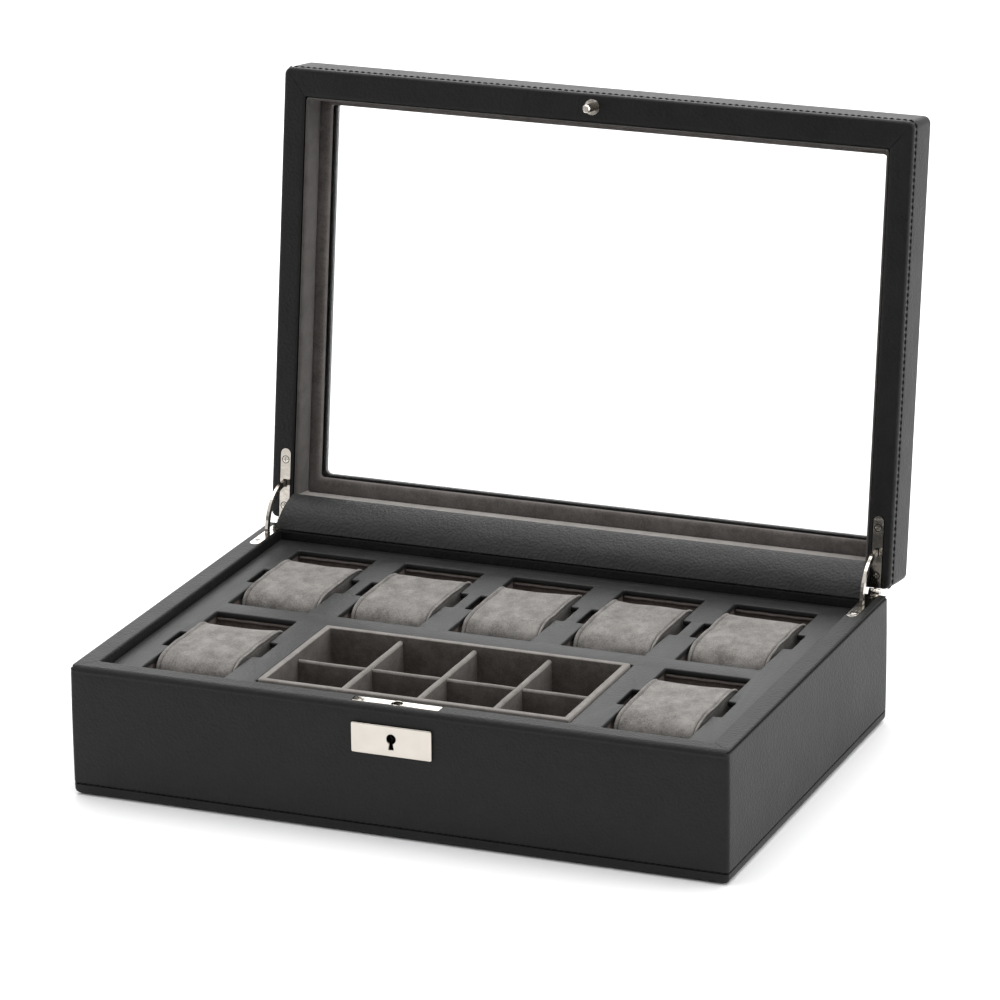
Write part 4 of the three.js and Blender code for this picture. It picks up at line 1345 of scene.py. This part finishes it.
lid_rows = [from_rail(0.0, LID_LOW + 1.0), from_rail(-0.25, LID_LOW + 0.35),
            from_rail(-0.9, LID_LOW + 0.05)]
for share in (0.85, 0.65, 0.45):
    part_way = tuple(share * width for width in RAIL)
    lid_rows.append(((0.0, LID_LOW), (0.0, LID_LOW), part_way))
lid_rows.append(flat(3.2, LID_LOW))
mating_levels = set(range(2, len(lid_rows)))
for inset, z in arc_rows(1.9, LID_LOW + 1.7, 1.7, -90, -8, 6):
    lid_rows.append(flat(inset, z))
for inset, z in (
    (0.15, LID_SEAM - 0.75), (0.4, LID_SEAM - 0.3), (0.4, LID_SEAM + 0.3),
    (0.14, LID_SEAM + 0.75), (0.08, LID_SEAM + 2.5), (0.0, LID_LOW + 10),
    (0.0, LID_LOW + 16), (0.02, LID_LOW + 22), (0.1, LID_HIGH - 4.2),
):
    lid_rows.append(flat(inset, z))
for inset, z in arc_rows(3.3, LID_HIGH - 3.2, 3.2, 4, 88, 8):
    lid_rows.append(flat(inset, z))
lid_rows += [flat(5.0, LID_HIGH), from_window(-8.0, LID_HIGH), from_window(-3.0, LID_HIGH),
             from_window(-1.3, LID_HIGH)]
for step in range(5):
    angle = math.radians(90 * (step + 1) / 5)
    lid_rows.append(from_window(-1.2 + 1.2 * math.sin(angle),
                                LID_HIGH - 1.2 + 1.2 * math.cos(angle)))
lid_rows += [from_window(0.0, LID_HIGH - 3.8), from_window(-0.5, LID_HIGH - 4.45),
             from_rail(1.0, LID_HIGH - 4.5), from_rail(0.0, LID_HIGH - 4.9)]
lid_rows.append(from_rail(0.0, LID_LOW + 12))
lid_radii = []
for at_front, elsewhere, extra in lid_rows:
    if extra is NO_EXTRA:
        lid_radii.append(max(LID_CORNER - elsewhere[0], 1.0))
    elif extra is WINDOW:
        lid_radii.append(3.0 + max(-elsewhere[0], 0) * 0.3)
    else:
        lid_radii.append(0.9)
# The first and last rings, the rails' inner faces behind the lining, are painted black as painted
# shade.
lid_leather = sweep_shell(
    "lid_leather", lid_rows, SHELL_SIDES, lid_radii, STEPS, mating_levels, -0.22, -0.05,
    leatherette, [(0, True), (len(lid_rows) - 1, True)],
)
cut_hinge_beds(lid_leather, LID_LOW, 1)
STUD_BED_RADIUS, STUD_BED_DEPTH = 4.45, 1.3
stud_bed = circle_outline(0, lock_y, STUD_BED_RADIUS, 32)
cut(lid_leather, stud_bed, LID_LOW - 2, LID_LOW + STUD_BED_DEPTH)
lid_leather.data.transform(OPEN_LID)
bake_modifiers(lid_leather, 50)
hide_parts("lid_top_frame",
            *[f"lid_rail_{s}" for s in ("front", "rear", "left", "right")])
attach(lid_leather, "lid")
lid_path, lid_out = seam_path(0.28, LID_SEAM, LID_CORNER - 0.3)
sew("stitching_lid", lid_path, lid_out, 3.5, 3.0, 0.95, "lid", OPEN_LID)
print("lid shell faces:", len(lid_leather.data.polygons))

# %% [markdown]
# ## Lining, bead and glass
#
# Inside the lid, padded strips of suede line the rails. A narrower suede bead holds the pane up
# against the top frame. Both are swept rings with rounded arrises, so a soft light runs along
# them and a dark line parts them.


# %% Line the lid and set the glass
def ring_piece(name, rows, radius, finish, node):
    radii = [radius] * len(rows)
    piece = sweep_shell(name, rows, SHELL_SIDES, radii, STEPS, set(), 0.0, 0.0, finish)
    piece.data.transform(OPEN_LID)
    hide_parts(node)
    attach(piece, "lid")
    return piece


LINING_LOW = LID_LOW + 0.6
LINING_HIGH = LID_LOW + 17.8
BEAD_EDGE = (19.8, 20.8, 20.5)  # from the outer faces to the bead's inner edge


def from_bead(inset, z):
    return ((inset, z), (inset, z), BEAD_EDGE)


lining_rows = [from_rail(0.3, LINING_LOW + 0.4), from_rail(0.6, LINING_LOW),
               from_rail(1.15, LINING_LOW), from_rail(1.55, LINING_LOW + 0.4),
               from_rail(1.75, LINING_LOW + 3), from_rail(1.8, (LINING_LOW + LINING_HIGH) / 2),
               from_rail(1.75, LINING_HIGH - 3), from_rail(1.5, LINING_HIGH - 0.4),
               from_rail(1.0, LINING_HIGH), from_rail(0.3, LINING_HIGH)]
lid_lining = ring_piece("lid_lining_suede", lining_rows, 1.6, lining_suede,
                        "lid_lining")
# Faces turned upward take the lighter copy: painted light where the top lamps fall.
paint(lid_lining, ledge_painted_light_suede,
      [f.index for f in lid_lining.data.polygons if f.normal.z > 0.6])
BEAD_LOW = LID_LOW + 18.1
BEAD_HIGH = LID_LOW + 22.5
bead_rows = [from_rail(0.4, BEAD_HIGH), from_rail(0.4, BEAD_LOW + 0.7),
             from_rail(0.8, BEAD_LOW + 0.15), from_rail(1.8, BEAD_LOW),
             from_bead(-2.2, BEAD_LOW), from_bead(-1.0, BEAD_LOW + 0.2),
             from_bead(-0.25, BEAD_LOW + 0.8), from_bead(0.0, BEAD_LOW + 1.4),
             from_bead(-0.1, BEAD_HIGH)]
lid_bead = ring_piece("lid_bead_suede", bead_rows, 2.0, bead_suede,
                      "lid_glass_bead")
cover("lid_glass", glass, 0.3)
cover("lid_stud", nickel, 0.25)
print("lining and bead faces:", len(lid_lining.data.polygons), len(lid_bead.data.polygons))

# %% [markdown]
# ## Hinges
#
# The quadrant hinges are already true to size, down to the slots that the curved stays run in, so
# they only need their polish. A fine bevel on every edge gives the bright line that real metal
# edges have.

# %% Polish the hinges
for side in ("left", "right"):
    for node in (f"hinge_{side}_case_leaf", f"hinge_{side}_lid_leaf"):
        cover(node, nickel, 0.22)
    cover(f"hinge_{side}_stay", nickel, 0.3)
    cover(f"hinge_{side}_pin", lock_steel, 0.1)
    for half in ("case", "lid"):
        for number in (1, 2):
            cover(f"screw_{side}_{half}_{number}", nickel, 0.08)


SHADOW_RING_INNER, SHADOW_RING_OUTER, SHADOW_RING_THICK = 1.8, 2.15, 0.05


def shadow_rings(name, x, face_z, body, place=None):
    """Painted shadow: a thin black ring round each countersunk head, where the gap round it lies in
    shade.
    """
    points, faces = [], []
    steps = 28
    section = ((SHADOW_RING_INNER, 0.0), (SHADOW_RING_INNER, SHADOW_RING_THICK), (SHADOW_RING_OUTER, SHADOW_RING_THICK),
               (SHADOW_RING_OUTER, 0.0))
    for node in (1, 2):
        low, high = node_box_mm(f"screw_right_case_{node}")
        middle = (low[1] + high[1]) / 2
        start = len(points)
        for radius, z in section:
            for k in range(steps):
                angle = 2 * math.pi * k / steps
                points.append((x + radius * math.cos(angle), middle + radius * math.sin(angle),
                               face_z + z))
        faces += tube_faces(len(section), steps, closed=True, start=start)
    rings = make_piece(name, points, faces, seam_painted_shade)
    if place is not None:
        rings.data.transform(place)
    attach(rings, body)


for side, sign in (("left", -1), ("right", 1)):
    shadow_rings(f"screw_gap_painted_shadows_{side}_case", sign * LEAF_X, CASE_TOP, "case")
    shadow_rings(f"screw_gap_painted_shadows_{side}_lid", sign * LEAF_X, LID_LOW - SHADOW_RING_THICK, "lid",
                 OPEN_LID)
print("hinge nodes polished:", 2 * (2 + 1 + 1 + 4))

# %% [markdown]
# ## The spine
#
# A strip of leather closes the gap between the case and the open lid. It is glued along the rear
# wall's inner edge and along the lid's rear rail, bows slightly forward, and creases where it has
# been folded. Being a flexible sheet, it is made flat-sized and bent.

# %% Hang the spine strip
spine_low, spine_high = node_box_mm("spine_strip")
SPINE_INSET = 0.75  # from the measured strip's outer corners to the line it hangs on
spine_start = Vector((0, spine_low[1] + SPINE_INSET, spine_low[2]))
spine_end = Vector((0, spine_high[1], spine_high[2] - SPINE_INSET))
spine_along = (spine_end - spine_start)
spine_dir = spine_along.normalized()
spine_out = Vector((0, -spine_dir.z, spine_dir.y))
SPINE_THICK = 0.9
SPINE_BOW = 2.9
FOLD, CREASE, WRINKLE = 0.3, 0.1, 0.1
SPINE_FLARE = 4.0  # the strip is this much wider at each end where it meets the case
columns, lines = 220, 16
points = []
for layer in (0, 1):
    for line in range(lines + 1):
        t = line / lines
        for column in range(columns + 1):
            along = column / columns
            x = spine_low[0] + (spine_high[0] - spine_low[0]) * along
            x += SPINE_FLARE * (1 - t) * (2 * along - 1)
            fold = noise.noise(Vector((x * 0.045 + 9, t * 2.1, 4.2)))
            crease = noise.noise(Vector((x * 0.22 + t * 3.0, t * 5.5 - x * 0.05, 1.7)))
            edge = 4 * t * (1 - t)
            lift = SPINE_BOW * edge + edge * (FOLD * fold + CREASE * crease)
            slant = noise.noise(Vector(((x + 14 * t) * 0.55, t * 2.2, 7.7)))
            lift += WRINKLE * max(0.0, t - 0.45) * edge * 3 * slant
            lift += SPINE_THICK * layer
            p = spine_start + spine_along * t + spine_out * lift
            points.append((x, p.y, p.z))
ring = (lines + 1) * (columns + 1)
faces = []
for line in range(lines):
    for column in range(columns):
        a = line * (columns + 1) + column
        b = a + columns + 1
        faces.append((a, a + 1, b + 1, b))
        faces.append((ring + a, ring + b, ring + b + 1, ring + a + 1))
for line in range(lines):
    for column in (0, columns):
        a = line * (columns + 1) + column
        b = a + columns + 1
        faces.append((a, b, ring + b, ring + a))
for column in range(columns):
    for line in (0, lines):
        a = line * (columns + 1) + column
        faces.append((a, a + 1, ring + a + 1, ring + a))
spine = make_piece("spine_leather_strip", points, faces, spine_leather, 50)
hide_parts("spine_strip")
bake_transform(spine)
